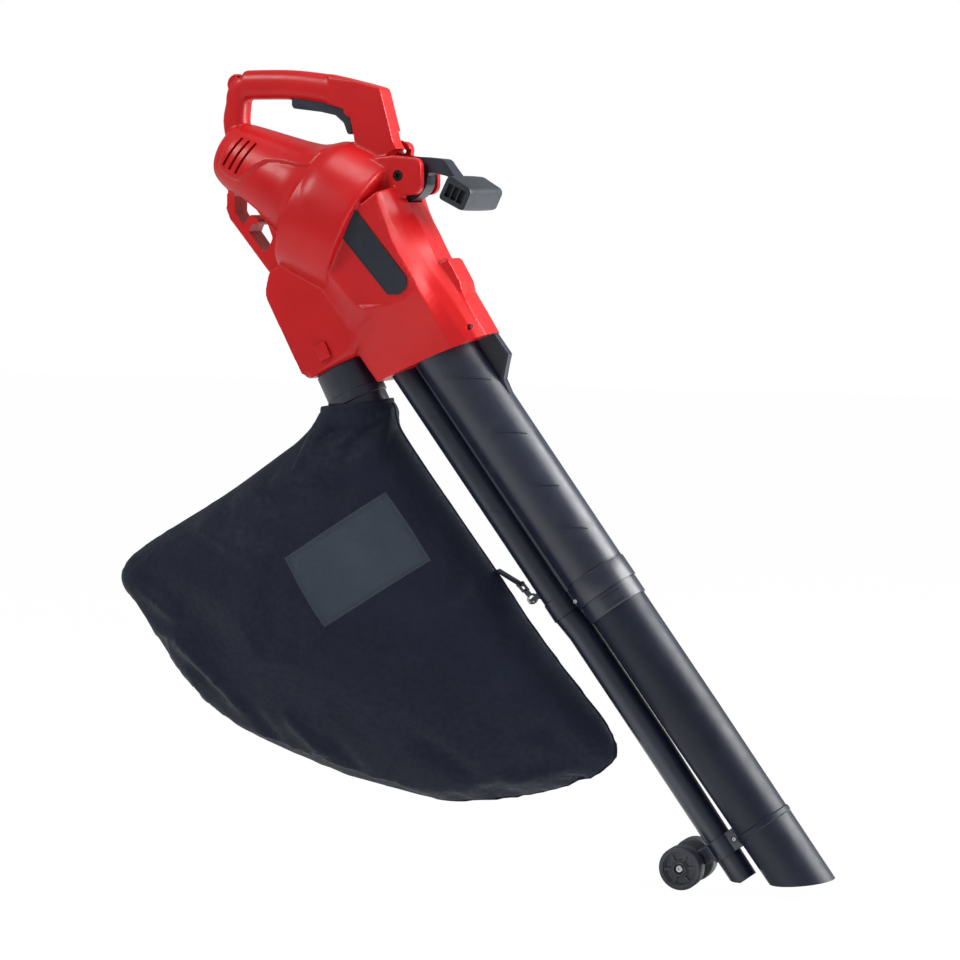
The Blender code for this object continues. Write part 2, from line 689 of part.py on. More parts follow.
def pockets():
    """Spaces for what sits in the handle, the motor end and the ears."""
    made = [
        add("switch_pocket", grown(SWITCH, FIT), BODY),
        add("board_pocket", grown(BOARD, FIT), BODY),
        add("capacitor_pocket", turned([(CAPACITOR[0] - FIT, CAPACITOR_RADIUS + FIT),
                                        (CAPACITOR[1] + FIT, CAPACITOR_RADIUS + FIT)], 8,
                                       offset=(0.0, CAPACITOR[2])), BODY),
        add("trigger_slot", trigger_slot(), BODY),
        add("trigger_pin_hole", cross_turned([(-TRIGGER_HALF_WIDTH - 0.004, TRIGGER_PIN_RADIUS + FIT),
                                              (TRIGGER_HALF_WIDTH + 0.004, TRIGGER_PIN_RADIUS + FIT)], 8),
            TRIGGER),
        add("dial_slot", cross_turned([(-DIAL_HALF_WIDTH - PLUG_FIT, DIAL_RADIUS + RUNNING),
                                       (DIAL_HALF_WIDTH + PLUG_FIT, DIAL_RADIUS + RUNNING)], 16), DIAL),
        add("dial_bearing", cross_turned([(-DIAL_HALF_WIDTH - 0.0045, DIAL_SHAFT_RADIUS + FIT),
                                          (DIAL_HALF_WIDTH + 0.0045, DIAL_SHAFT_RADIUS + FIT)], 8), DIAL),
        add("inlet_pocket", block((INLET_BACK - 0.010, -INLET_HALF_WIDTH - FIT, -INLET_HALF_HEIGHT - FIT),
                                  (INLET_BACK + INLET_DEPTH + FIT, INLET_HALF_WIDTH + FIT,
                                   INLET_HALF_HEIGHT + FIT)), FAN),
        add("ear_gap", cross_turned([(-EAR_INNER, HUB_DISC_RADIUS + 0.0015),
                                     (EAR_INNER, HUB_DISC_RADIUS + 0.0015)], 20), PIVOT),
        add("pivot_bore", cross_turned([
            (-EAR_OUTER - 0.01, PIVOT_HEAD_RADIUS + FIT), (-EAR_OUTER + 0.005, PIVOT_HEAD_RADIUS + FIT),
            (-EAR_OUTER + 0.005, PIVOT_BOLT_RADIUS + FIT), (EAR_OUTER - 0.005, PIVOT_BOLT_RADIUS + FIT),
            (EAR_OUTER - 0.005, PIVOT_HEAD_RADIUS + FIT), (EAR_OUTER + 0.01, PIVOT_HEAD_RADIUS + FIT)], 12),
            PIVOT),
        add("eye_hole", cross_turned([(0.010, 0.0045), (0.040, 0.0045)], 12, centre=(EYE_X, EYE_Z)), BODY),
        add("eye_relief", block((EYE_X - 0.012, 0.0090, EYE_Z - 0.0065), (EYE_X + 0.020, EYE_INNER, EYE_Z + 0.024)),
            BODY),
        add("flap_bore", cross_turned([(-CHAMBER_HALF_WIDTH - 0.006, FLAP_SHAFT_RADIUS + FIT),
                                       (OUTLET_HALF_WIDTH + 0.010, FLAP_SHAFT_RADIUS + FIT)], 12,
                                      centre=(FLAP_X, FLAP_Z)), BODY),
    ]
    for name, frame, x, z, face in SCREWS:
        made.append(add(name + "_hole", cross_turned([
            (-0.0105, SCREW_RADIUS + FIT), (face - SCREW_SINK - 0.002, SCREW_RADIUS + FIT),
            (face - SCREW_SINK - 0.002, SCREW_HEAD_RADIUS + FIT), (face + 0.02, SCREW_HEAD_RADIUS + FIT)], SCREW_SIDES,
            centre=(x, z)), frame))
    seat = COLLAR_SCREW_FACE - 0.0025
    made.append(add("collar_screw_hole", cross_turned([
        (-0.060, SCREW_HEAD_RADIUS + FIT), (-seat, SCREW_HEAD_RADIUS + FIT), (-seat, SCREW_RADIUS + FIT),
        (-seat + 0.009, SCREW_RADIUS + FIT)], SCREW_SIDES, centre=(COLLAR_SCREW_X, COLLAR_SCREW_Z)), TUBE))
    return made


def housing():
    """The moulded housing as one body of guides, then split into its two halves."""
    bpy.context.view_layer.update()
    body = add("housing_body", motor_casing(), FAN)
    boolean(body, gather("housing_forms", [
        add("intake_form", intake_body(), TUBE),
        add("grip_form", handle_sweep(), BODY),
        add("post_form", front_post(), BODY),
        add("near_ear", ear(-EAR_OUTER, -0.006), BODY),
        add("far_ear", ear(0.006, EAR_OUTER), BODY),
        add("outlet_form", outlet_body(), BODY),
        add("loop_form", cable_loop(), BODY),
        add("eye_form", strap_eye(), BODY),
        add("band_form", step_band(), TUBE),
        add("lever_boss", cross_turned([(0.015, LEVER_RADIUS + 0.001), (LEVER_FACE, LEVER_RADIUS + 0.001)], 12,
                                       centre=(FLAP_X, FLAP_Z)), BODY),
    ]), "UNION")
    boolean(body, gather("housing_spaces", [
        add("motor_space", motor_space(), FAN),
        add("fan_space", fan_space(), FAN),
        add("neck_space", neck_space(), FAN),
        *intake_space(),
        add("outlet_space", outlet_space(), BODY),
        add("spout_space", spout_space(), SPOUT),
        add("loop_window", loop_window(), BODY),
        add("slanted_end", slanted_end(), TUBE),
        *tube_sockets(),
        *vent_slots(),
        *pockets(),
    ]), "DIFFERENCE")
    reach = 0.6
    for name, side in (("housing_left", -1), ("housing_right", 1)):
        inner, outer = side * SPLIT_GAP / 2.0, side * 0.12
        half = add(name, block((-reach, min(inner, outer), -reach), (reach, max(inner, outer), reach)),
                   BODY, RED)
        boolean(half, body, "INTERSECT")


# Motor and impeller
def ring_solid(name, start, end, outer, inner, finish, segments, chamfer=0.0006):
    """A plain ring about the fan axis with broken outer edges."""
    add(name, turned([
        (start, inner), (start, outer - chamfer), (start + chamfer, outer),
        (end - chamfer, outer), (end, outer - chamfer), (end, inner),
    ], segments, closed=True), FAN, finish)


def impeller():
    """A back plate with swept-back blades and a hub, moulded in one."""
    start = IMPELLER_START
    bore = SHAFT_RADIUS + FIT
    wheel = add("impeller", turned([
        (start, bore), (start, IMPELLER_RADIUS - 0.001), (start + 0.001, IMPELLER_RADIUS),
        (start + IMPELLER_DISC, IMPELLER_RADIUS), (start + IMPELLER_DISC, HUB_RADIUS + 0.006),
        (start + 0.022, HUB_RADIUS - 0.002), (start + 0.022, bore),
    ], 2 * BLADE_COUNT, closed=True), FAN, NYLON)
    bm = bmesh.new()
    steps = 3
    inner, outer = HUB_RADIUS + 0.008, IMPELLER_RADIUS - 0.002
    for blade in range(BLADE_COUNT):
        stations = []
        for k in range(steps + 1):
            part = k / steps
            radius = inner + (outer - inner) * part
            turn = 2.0 * math.pi * blade / BLADE_COUNT - 0.85 * part ** 1.3
            lean = -0.85 * 1.3 * part ** 0.3 * radius / (outer - inner)
            along = Vector((math.sin(turn), math.cos(turn)))
            across = Vector((along.y, -along.x))
            tangent = (along + across * lean).normalized()
            normal = Vector((tangent.y, -tangent.x)) * BLADE_THICKNESS / 2.0
            middle = along * radius
            top = start + BLADE_HEIGHT * (1.0 - 0.30 * part) + IMPELLER_DISC
            low = start + IMPELLER_DISC * 0.5
            stations.append([(low, *(middle - normal)), (low, *(middle + normal)),
                             (top, *(middle + normal)), (top, *(middle - normal))])
        loops = [[bm.verts.new(p) for p in ring] for ring in stations]
        for first, second in zip(loops, loops[1:]):
            for i in range(4):
                j = (i + 1) % 4
                bm.faces.new((first[i], first[j], second[j], second[i]))
        bm.faces.new(loops[0])
        bm.faces.new(loops[-1])
    boolean(wheel, add("impeller_blades", bm, FAN, smooth=False), "UNION")


def motor():
    """Shaft, armature, commutator, stator, bearings in their brackets, and brush gear."""
    bore = SHAFT_RADIUS + FIT
    add("motor_shaft", turned([
        (REAR_BEARING, SHAFT_RADIUS - 0.0006), (REAR_BEARING + 0.0006, SHAFT_RADIUS),
        (SHAFT_END - 0.0006, SHAFT_RADIUS), (SHAFT_END, SHAFT_RADIUS - 0.0006)], 16), FAN, STEEL)
    start = STATOR_MIDDLE - ARMATURE_LENGTH / 2.0
    end = STATOR_MIDDLE + ARMATURE_LENGTH / 2.0
    core = STATOR_BORE - RUNNING
    winding = core - 0.004
    add("armature_core", turned([
        (start - 0.006, bore), (start - 0.006, winding - 0.002), (start, winding), (start, core), (end, core),
        (end, winding), (end + 0.008, winding - 0.002), (end + 0.008, bore)], MOTOR_SIDES, closed=True), FAN,
        COPPER)
    ring_solid("commutator", COMMUTATOR_MIDDLE - COMMUTATOR_LENGTH / 2.0,
               COMMUTATOR_MIDDLE + COMMUTATOR_LENGTH / 2.0, COMMUTATOR_RADIUS, bore, COPPER, 12)
    ring_solid("stator", STATOR_MIDDLE - STATOR_LENGTH / 2.0, STATOR_MIDDLE + STATOR_LENGTH / 2.0,
               STATOR_RADIUS, STATOR_BORE, STEEL, MOTOR_SIDES)
    for name, start in (("rear_bearing", REAR_BEARING), ("front_bearing", FRONT_BRACKET + BRACKET_PLATE)):
        ring_solid(name, start, start + BEARING_WIDTH - 3 * FIT, BEARING_RADIUS, bore, STEEL, 12)
    boss = BEARING_RADIUS + 0.0025
    seat = BEARING_RADIUS + FIT
    plate = CAVITY_REAR + FIT
    add("rear_bracket", turned([
        (plate, 0.0035), (plate, CAVITY_RADIUS - FIT), (plate + BRACKET_PLATE - FIT, CAVITY_RADIUS - FIT),
        (plate + BRACKET_PLATE - FIT, boss), (plate + BRACKET_PLATE + BEARING_WIDTH, boss),
        (plate + BRACKET_PLATE + BEARING_WIDTH, seat), (plate + BRACKET_PLATE - FIT, seat),
        (plate + BRACKET_PLATE - FIT, 0.0035)], MOTOR_SIDES, closed=True), FAN, STEEL)
    plate = FRONT_BRACKET
    end = CAVITY_FRONT - FIT
    add("front_bracket", turned([
        (plate, bore + 0.001), (plate, STATOR_RADIUS), (plate + BRACKET_PLATE - FIT, STATOR_RADIUS),
        (plate + BRACKET_PLATE - FIT, boss), (end, boss), (end, seat), (plate + BRACKET_PLATE - FIT, seat),
        (plate + BRACKET_PLATE - FIT, bore + 0.001)], MOTOR_SIDES, closed=True), FAN, STEEL)
    hexagon_bore = bore / HEXAGON
    add("impeller_nut", turned([
        (NUT_START, hexagon_bore), (NUT_START, 0.0095), (NUT_START + 0.001, 0.0095),
        (NUT_START + 0.001, 0.0082), (NUT_START + 0.006, 0.0078), (NUT_START + 0.006, hexagon_bore)], 6,
        closed=True), FAN, STEEL, smooth=False)
    for side, word in ((-1, "left"), (1, "right")):
        near = COMMUTATOR_RADIUS + PLUG_FIT
        far = near + BRUSH_LENGTH
        half = BRUSH_WIDTH / 2.0
        wall = half + FIT + BRUSH_WALL
        middle = COMMUTATOR_MIDDLE
        spans = sorted((side * near, side * far))
        add("carbon_brush_" + word, block((middle - half, spans[0], -half), (middle + half, spans[1], half)),
            FAN, CARBON, smooth=False)
        rim = CAVITY_RADIUS * math.cos(math.asin(wall / CAVITY_RADIUS)) - 2 * FIT
        spans = sorted((side * (near + 0.0025), side * rim))
        holder = add("brush_holder_" + word, block((middle - wall, spans[0], -wall),
                                                   (middle + wall, spans[1], wall)), FAN, BADGE, smooth=False)
        spans = sorted((side * (near - 0.004), side * (far + FIT)))
        fit = half + FIT
        boolean(holder, add("brush_channel_" + word, block((middle - fit, spans[0], -fit),
                                                          (middle + fit, spans[1], fit)), FAN), "DIFFERENCE")


def inlet():
    """The recessed two-pin mains inlet in the rear face of the motor end."""
    back = INLET_BACK + 0.0005
    front = INLET_BACK + INLET_DEPTH
    shell = add("power_inlet", block((back, -INLET_HALF_WIDTH, -INLET_HALF_HEIGHT),
                                     (front, INLET_HALF_WIDTH, INLET_HALF_HEIGHT), 0.0008, 1), FAN, BADGE)
    boolean(shell, add("inlet_recess", block((back - 0.005, -INLET_HALF_WIDTH + 0.0025,
                                              -INLET_HALF_HEIGHT + 0.0022),
                                             (front - 0.003, INLET_HALF_WIDTH - 0.0025,
                                              INLET_HALF_HEIGHT - 0.0022)), FAN), "DIFFERENCE")
    for side, word in ((-1, "left"), (1, "right")):
        middle = side * 0.005
        boolean(shell, add("pin_hole_" + word, turned([(front - 0.006, 0.0015 + FIT), (front - 0.001,
                                                        0.0015 + FIT)], 8, offset=(middle, 0.0)), FAN),
                "DIFFERENCE")
        add("inlet_pin_" + word, turned([
            (back + 0.0010, 0.0009), (back + 0.0016, 0.0015), (front - 0.001 - FIT, 0.0015)], 8,
            offset=(middle, 0.0)), FAN, STEEL)


# Handle fittings
def trigger():
    """The L-shaped trigger: a long finger bar under the grip and a short leg down the front post."""
    outline = [(x - TRIGGER_PIVOT_X, z - TRIGGER_PIVOT_Z, r) for x, z, r in (
        (-0.0120, -0.0140, 0.002), (0.030, -0.0160, 0), (0.0580, -0.0195, 0.004), (0.0680, -0.0235, 0.003),
        (0.0698, -0.0430, 0.004), (0.0730, -0.0625, 0.002), (0.0672, -0.0640, 0.002),
        (0.0615, -0.0490, 0.006), (0.0500, -0.0395, 0.008), (0.0300, -0.0330, 0), (-0.0120, -0.0300, 0.004))]
    lever = add("trigger", slab(rounded(outline, 1), -TRIGGER_HALF_WIDTH, TRIGGER_HALF_WIDTH, 0.0015, 1),
                TRIGGER, BLACK)
    boolean(lever, add("trigger_bore", cross_turned([(-0.02, TRIGGER_PIN_RADIUS + FIT),
                                                     (0.02, TRIGGER_PIN_RADIUS + FIT)], 8), TRIGGER),
            "DIFFERENCE")
    half = TRIGGER_HALF_WIDTH + 0.004 - FIT
    add("trigger_pin", cross_turned([(-half, TRIGGER_PIN_RADIUS - 0.0004),
                                     (-half + 0.0004, TRIGGER_PIN_RADIUS),
                                     (half - 0.0004, TRIGGER_PIN_RADIUS),
                                     (half, TRIGGER_PIN_RADIUS - 0.0004)], 8), TRIGGER, STEEL)


def dial():
    """The ribbed thumb wheel that sets the fan speed, on its own stub shafts."""
    teeth = DIAL_TEETH
    shaft = DIAL_HALF_WIDTH + 0.0042
    wheel = add("speed_dial", cross_turned([
        (-shaft, DIAL_SHAFT_RADIUS), (-DIAL_HALF_WIDTH, DIAL_SHAFT_RADIUS),
        (-DIAL_HALF_WIDTH, DIAL_RADIUS - 0.0015), (-DIAL_HALF_WIDTH + 0.0012, DIAL_RADIUS),
        (DIAL_HALF_WIDTH - 0.0012, DIAL_RADIUS), (DIAL_HALF_WIDTH, DIAL_RADIUS - 0.0015),
        (DIAL_HALF_WIDTH, DIAL_SHAFT_RADIUS), (shaft, DIAL_SHAFT_RADIUS)], 2 * teeth), DIAL, RED)
    mesh = wheel.data
    for vert in mesh.vertices:
        reach = math.hypot(vert.co.x, vert.co.z)
        if reach > DIAL_RADIUS - 0.0002:
            turn = math.atan2(vert.co.z, vert.co.x)
            slot = int(round(turn / (2.0 * math.pi) * 2 * teeth - 0.5)) % 2
            if slot:
                vert.co.x *= (DIAL_RADIUS - 0.0010) / reach
                vert.co.z *= (DIAL_RADIUS - 0.0010) / reach


def electrics():
    """Trigger switch, speed board and interference capacitor, each in its pocket in the grip."""
    add("trigger_switch", block(*SWITCH, 0.0006, 1), BODY, BADGE)
    add("speed_board", block(*BOARD, 0.0004, 1), BODY, COPPER)
    add("capacitor", turned([(CAPACITOR[0], CAPACITOR_RADIUS - 0.001), (CAPACITOR[0] + 0.001, CAPACITOR_RADIUS),
                             (CAPACITOR[1] - 0.001, CAPACITOR_RADIUS), (CAPACITOR[1], CAPACITOR_RADIUS - 0.001)],
                            8, offset=(0.0, CAPACITOR[2])), BODY, BADGE)


def fasteners():
    """The screws that hold the two halves, driven from the far side."""
    for name, frame, x, z, face in SCREWS:
        head = face - SCREW_SINK
        add(name, cross_turned([
            (-0.0100, SCREW_RADIUS - 0.0008), (-0.0085, SCREW_RADIUS), (head - 0.002 + FIT, SCREW_RADIUS),
            (head - 0.002 + FIT, SCREW_HEAD_RADIUS), (head, SCREW_HEAD_RADIUS - 0.0008),
            (head, 0.0014), (head - 0.0012, 0.0010)], SCREW_SIDES, centre=(x, z)), frame, STEEL)
    head = COLLAR_SCREW_FACE
    seat = head - 0.0025 + FIT
    add("collar_screw", cross_turned([
        (-seat + 0.008, SCREW_RADIUS - 0.0008), (-seat + 0.0065, SCREW_RADIUS), (-seat, SCREW_RADIUS),
        (-seat, SCREW_HEAD_RADIUS), (-head, SCREW_HEAD_RADIUS - 0.0008), (-head, 0.0014),
        (-head + 0.0012, 0.0010)], SCREW_SIDES, centre=(COLLAR_SCREW_X, COLLAR_SCREW_Z)), TUBE, STEEL)


# Front handle
def front_handle():
    """The swinging arm with its friction hub between the ears, and the crosswise grip it carries."""
    s, c = math.sin(HANDLE_GRIP_TILT), math.cos(HANDLE_GRIP_TILT)
    gx, gz = HANDLE_GRIP_X - PIVOT_X, HANDLE_GRIP_Z - PIVOT_Z
    rear_x, rear_z = gx - 0.5 * HANDLE_GRIP_WIDTH * c, gz + 0.5 * HANDLE_GRIP_WIDTH * s
    hub = HUB_DISC_RADIUS
    outline = [(p.x, p.y) for p in arc((0, 0), hub, 195.0, 342.0, 7)]
    outline += [(p.x, p.y) for p in rounded([
        (hub * 0.93, 0.0000, 0), (0.036, 0.0045, 0.006), (gx - 0.024, -0.001, 0.004),
        (rear_x - 0.0005, rear_z - 0.004, 0), (rear_x + 0.0060, rear_z + 0.008, 0),
        (gx - 0.030, 0.0205, 0.010), (0.024, 0.0235, 0.010), (0.000, 0.0235, 0.010),
        (-0.0235, 0.012, 0)], 2)]
    arm = add("front_handle_arm", slab(outline, -ARM_HALF_WIDTH, ARM_HALF_WIDTH, 0.002, 1), PIVOT, BLACK)
    hub_half = EAR_INNER - 0.0015
    boolean(arm, add("hub_disc", cross_turned([(-hub_half, 0.0200), (-hub_half, 0.0215), (hub_half, 0.0215),
                                               (hub_half, 0.0200)], 16), PIVOT), "UNION")
    boolean(arm, add("hub_bore", cross_turned([(-0.05, PIVOT_BOLT_RADIUS + PLUG_FIT),
                                               (0.05, PIVOT_BOLT_RADIUS + PLUG_FIT)], 12), PIVOT), "DIFFERENCE")
    grip_section = []
    half_w, half_h = HANDLE_GRIP_WIDTH / 2.0, HANDLE_GRIP_HEIGHT / 2.0
    section = rounded([(-half_w, -half_h, 0.006), (half_w, -half_h, 0.008), (half_w, half_h, 0.008),
                       (-half_w, half_h, 0.006)], 3)
    for y, scale in ((-0.5, 0.94), (-0.485, 1.00), (-0.25, 1.04), (0.0, 1.05), (0.25, 1.04), (0.485, 1.00),
                     (0.5, 0.94)):
        ring = []
        for p in section:
            u, w = p.x * scale, p.y * scale
            ring.append((gx + u * c + w * s, y * HANDLE_GRIP_LENGTH, gz - u * s + w * c))
        grip_section.append(ring)
    grip = add("front_handle_grip", rings_to_mesh(grip_section), PIVOT, SOFT_BLACK)
    slot = add("grip_slot", slab([
        (gx - 0.06, gz - 0.06), (rear_x + 0.004, rear_z - 0.022), (rear_x + 0.0066, rear_z + 0.008),
        (gx - 0.02, gz + 0.06), (gx - 0.06, gz + 0.06)], -ARM_HALF_WIDTH - FIT, ARM_HALF_WIDTH + FIT), PIVOT)
    boolean(grip, slot, "DIFFERENCE")
    wall, rib = 0.0035, 0.0014
    for side in (-1, 1):
        for k in (-1, 0, 1):
            width = (HANDLE_GRIP_WIDTH * 0.9 - 2 * wall - 2 * rib) / 3.0
            middle = k * (width + rib)
            corners = []
            for u, w in ((-width / 2, -1), (width / 2, -1), (width / 2, 1), (-width / 2, 1)):
                a = middle + u
                b = w * (half_h * 0.9 - wall)
                corners.append((gx + a * c + b * s, gz - a * s + b * c))
            low, high = sorted((side * (HANDLE_GRIP_LENGTH / 2.0 - 0.005), side * (HANDLE_GRIP_LENGTH / 2.0 + 0.01)))
            boolean(grip, add(f"grip_pocket_{side}_{k}", slab(corners, low, high), PIVOT), "DIFFERENCE")


def pivot_fittings():
    """The recessed pivot screw, its nut, and the friction washers beside the hub."""
    head = EAR_OUTER - 0.0005
    add("pivot_screw", cross_turned([
        (-head, 0.0030), (-head, PIVOT_HEAD_RADIUS - 0.0006), (-head + 0.0006, PIVOT_HEAD_RADIUS),
        (-EAR_OUTER + 0.005 - FIT, PIVOT_HEAD_RADIUS), (-EAR_OUTER + 0.005 - FIT, PIVOT_BOLT_RADIUS),
        (EAR_OUTER - 0.002, PIVOT_BOLT_RADIUS), (EAR_OUTER - 0.0015, PIVOT_BOLT_RADIUS - 0.0006)], 12),
        PIVOT, BADGE)
    recess = add("screw_recess", cross_turned([(-head - 0.002, 0.0036), (-head + 0.0035, 0.0036)], 6), PIVOT)
    boolean(bpy.data.objects["pivot_screw"], recess, "DIFFERENCE")
    nut_bore = (PIVOT_BOLT_RADIUS + FIT) / HEXAGON
    nut_low, nut_high = EAR_OUTER - 0.005 + FIT, EAR_OUTER - 0.0008
    add("pivot_nut", cross_turned([
        (nut_low, nut_bore), (nut_low, PIVOT_HEAD_RADIUS - FIT), (nut_high, PIVOT_HEAD_RADIUS - FIT),
        (nut_high, nut_bore)], 6, closed=True), PIVOT, STEEL, smooth=False)
    for side, word in ((-1, "left"), (1, "right")):
        spans = sorted((side * (EAR_INNER - 0.0015 + FIT), side * (EAR_INNER - FIT)))
        add("friction_washer_" + word, cross_turned([
            (spans[0], PIVOT_BOLT_RADIUS + PLUG_FIT), (spans[0], 0.0180), (spans[1], 0.0180),
            (spans[1], PIVOT_BOLT_RADIUS + PLUG_FIT)], 16, closed=True), PIVOT, STEEL)


# Badge, flap, latch
def badge():
    """The dark badge plate on the near side panel, left bare."""
    rise = math.atan(PANEL_SLOPE)
    seat = bpy.data.objects.new("badge_frame", None)
    bpy.context.scene.collection.objects.link(seat)
    seat.parent = TUBE
    seat.location = (PANEL_MIDDLE, -PANEL_Y, 0.0)
    seat.rotation_euler = (0.0, 0.0, rise)
    outline = rounded([(-0.0600, 0.0170, 0.003), (-0.0450, -0.0110, 0.004), (0.0400, -0.0060, 0.004),
                       (0.0490, 0.0130, 0.008), (0.0440, 0.0230, 0.008)], 2)
    add("badge_plate", slab(outline, -0.0018 - FIT, -FIT, 0.0007, 1), seat, BADGE)


def changeover():
    """The flap that closes the blow duct while the bag is used, its shaft, and the lever outside."""
    axis = axis_frame("flap_axis", FLAP_X, FLAP_Z, FLAP_REST)
    half = CHAMBER_HALF_WIDTH - RUNNING
    flap = add("changeover_flap", slab([(0.0, -0.0018), (FLAP_LENGTH, -0.0010), (FLAP_LENGTH, 0.0010),
                                        (0.0, 0.0018)], -half, half), axis, BLACK)
    shaft = LEVER_FACE + 0.0030
    boolean(flap, add("flap_shaft", cross_turned([(-CHAMBER_HALF_WIDTH - 0.005, FLAP_SHAFT_RADIUS),
                                                  (shaft, FLAP_SHAFT_RADIUS)], 12), axis), "UNION")
    knob_low = LEVER_FACE + FIT
    lever = add("mode_lever", cross_turned([(knob_low, LEVER_RADIUS), (knob_low + 0.005, LEVER_RADIUS),
                                            (knob_low + 0.006, LEVER_RADIUS - 0.001)], 12), axis, BLACK)
    boolean(lever, add("lever_wing", slab(rounded([(0.004, -0.0045, 0.002), (0.004, 0.0045, 0.002),
                                                   (-0.030, 0.003, 0.002), (-0.030, -0.003, 0.002)], 2),
                                          knob_low + 0.001, knob_low + 0.011, 0.001, 1), axis), "UNION")
    boolean(lever, add("lever_socket", cross_turned([(knob_low - 0.002, FLAP_SHAFT_RADIUS + FIT),
                                                     (shaft + FIT, FLAP_SHAFT_RADIUS + FIT)], 12), axis),
            "DIFFERENCE")


def latch():
    """The spring tab above the bag spout that lets the bag go."""
    add("bag_latch", slab(rounded([(-0.034, 0.010, 0.002), (-0.012, 0.010, 0.002), (-0.012, -0.008, 0.002),
                                   (-0.034, -0.008, 0.002)], 2), -OUTLET_HALF_WIDTH - 0.0040,
                          -OUTLET_HALF_WIDTH - FIT, 0.001, 1), SPOUT, RED)


# Tubes
def upper_tube():
    """The double upper tube: suction tube, blow duct and web in one moulding, with fin, ribs and lug."""
    top, end = -COLLAR_DEPTH + FIT, UPPER_LENGTH
    r0, r1 = UPPER_TOP_RADIUS, UPPER_END_RADIUS
    body = add("upper_tube", turned([
        (top, r0), (end - 0.022, r1), (end - 0.021, r1 + 0.0014), (end + 0.008, r1 + 0.0014),
        (end + 0.009, r1 - 0.0002), (end + SLEEVE, r1 - 0.0002)], TUBE_SIDES),
        TUBE, BLACK)
    duct = add("duct_form", turned([
        (top, DUCT_RADIUS), (end - 0.024, DUCT_RADIUS), (end - 0.023, DUCT_RADIUS + 0.0012),
        (end + 0.002, DUCT_RADIUS + 0.0012)], DUCT_SIDES, offset=(0.0, -DUCT_OFFSET)), TUBE)
    web = add("web_form", slab([(top, -r1 + 0.008), (end, -r1 + 0.008), (end, -DUCT_OFFSET + 0.008),
                                (top, -DUCT_OFFSET + 0.008)], -WEB_HALF_WIDTH, WEB_HALF_WIDTH), TUBE)
    fin_foot, fin_top = r0 - 0.004, 0.0695
    plate = add("fin_form", slab([
        (collar_edge(fin_foot) + FIT, fin_foot), (collar_edge(fin_top) + FIT, fin_top), (0.0640, fin_top),
        (0.0850, r0 + 0.002), (0.0900, fin_foot)], -0.0018, 0.0018), TUBE)
    flange = add("fin_flange", slab([
        (collar_edge(fin_top - 0.003) + FIT, fin_top - 0.003), (collar_edge(fin_top) + FIT, fin_top),
        (0.0640, fin_top), (0.0850, r0 + 0.002), (0.1050, r0 - 0.0005), (0.1050, r0 - 0.004),
        (0.0830, r0 - 0.002), (0.0625, fin_top - 0.003)], -0.0065, 0.0065), TUBE)
    half = STAPLE_HALF_WIDTH
    staple = add("staple_form", slab(rounded([
        (STAPLE_X - 0.006, -DUCT_OFFSET - 0.010, 0), (STAPLE_X - STAPLE_RADIUS, STAPLE_Z + 0.007, 0),
        (STAPLE_X - STAPLE_RADIUS, STAPLE_Z - STAPLE_RADIUS, 0.0015),
        (STAPLE_X + STAPLE_RADIUS, STAPLE_Z - STAPLE_RADIUS, 0.0015),
        (STAPLE_X + STAPLE_RADIUS, STAPLE_Z + 0.007, 0), (STAPLE_X + 0.009, -DUCT_OFFSET - 0.010, 0)], 2),
        -half, half), TUBE)
    boolean(staple, add("staple_gap", block(
        (STAPLE_X - 0.02, -half + 0.003, STAPLE_Z + STAPLE_RADIUS),
        (STAPLE_X + 0.02, half - 0.003, -DUCT_OFFSET - DUCT_RADIUS + 0.001)), TUBE), "DIFFERENCE")
    boolean(body, gather("upper_tube_forms", [duct, web, plate, flange, staple]), "UNION")
    boolean(body, gather("upper_tube_bores", [
        add("main_bore", turned([(top - 0.01, r0 - TUBE_WALL), (top, r0 - TUBE_WALL),
                                 (end - PLUG_LENGTH, LOWER_RADIUS + FIT), (end + 0.05, LOWER_RADIUS + FIT)],
                                TUBE_SIDES), TUBE),
        add("duct_bore", turned([(top - 0.01, DUCT_RADIUS - TUBE_WALL), (end + 0.02, DUCT_RADIUS - TUBE_WALL)],
                                DUCT_SIDES, offset=(0.0, -DUCT_OFFSET)), TUBE),
    ]), "DIFFERENCE")


def lower_radius(along):
    """Radius of the lower suction tube, which narrows a little towards its mouth."""
    slow, fast = along - UPPER_LENGTH, max(0.0, along - TAPER_START)
    return LOWER_RADIUS - 0.0015 * slow - 0.0067 * fast


def lower_duct(along):
    """Radius and offset of the slim duct, which narrows and leaves the suction tube towards its end."""
    fast = max(0.0, along - TAPER_START)
    return LOWER_DUCT_RADIUS - 0.0080 * fast, LOWER_DUCT_OFFSET + 0.0130 * fast


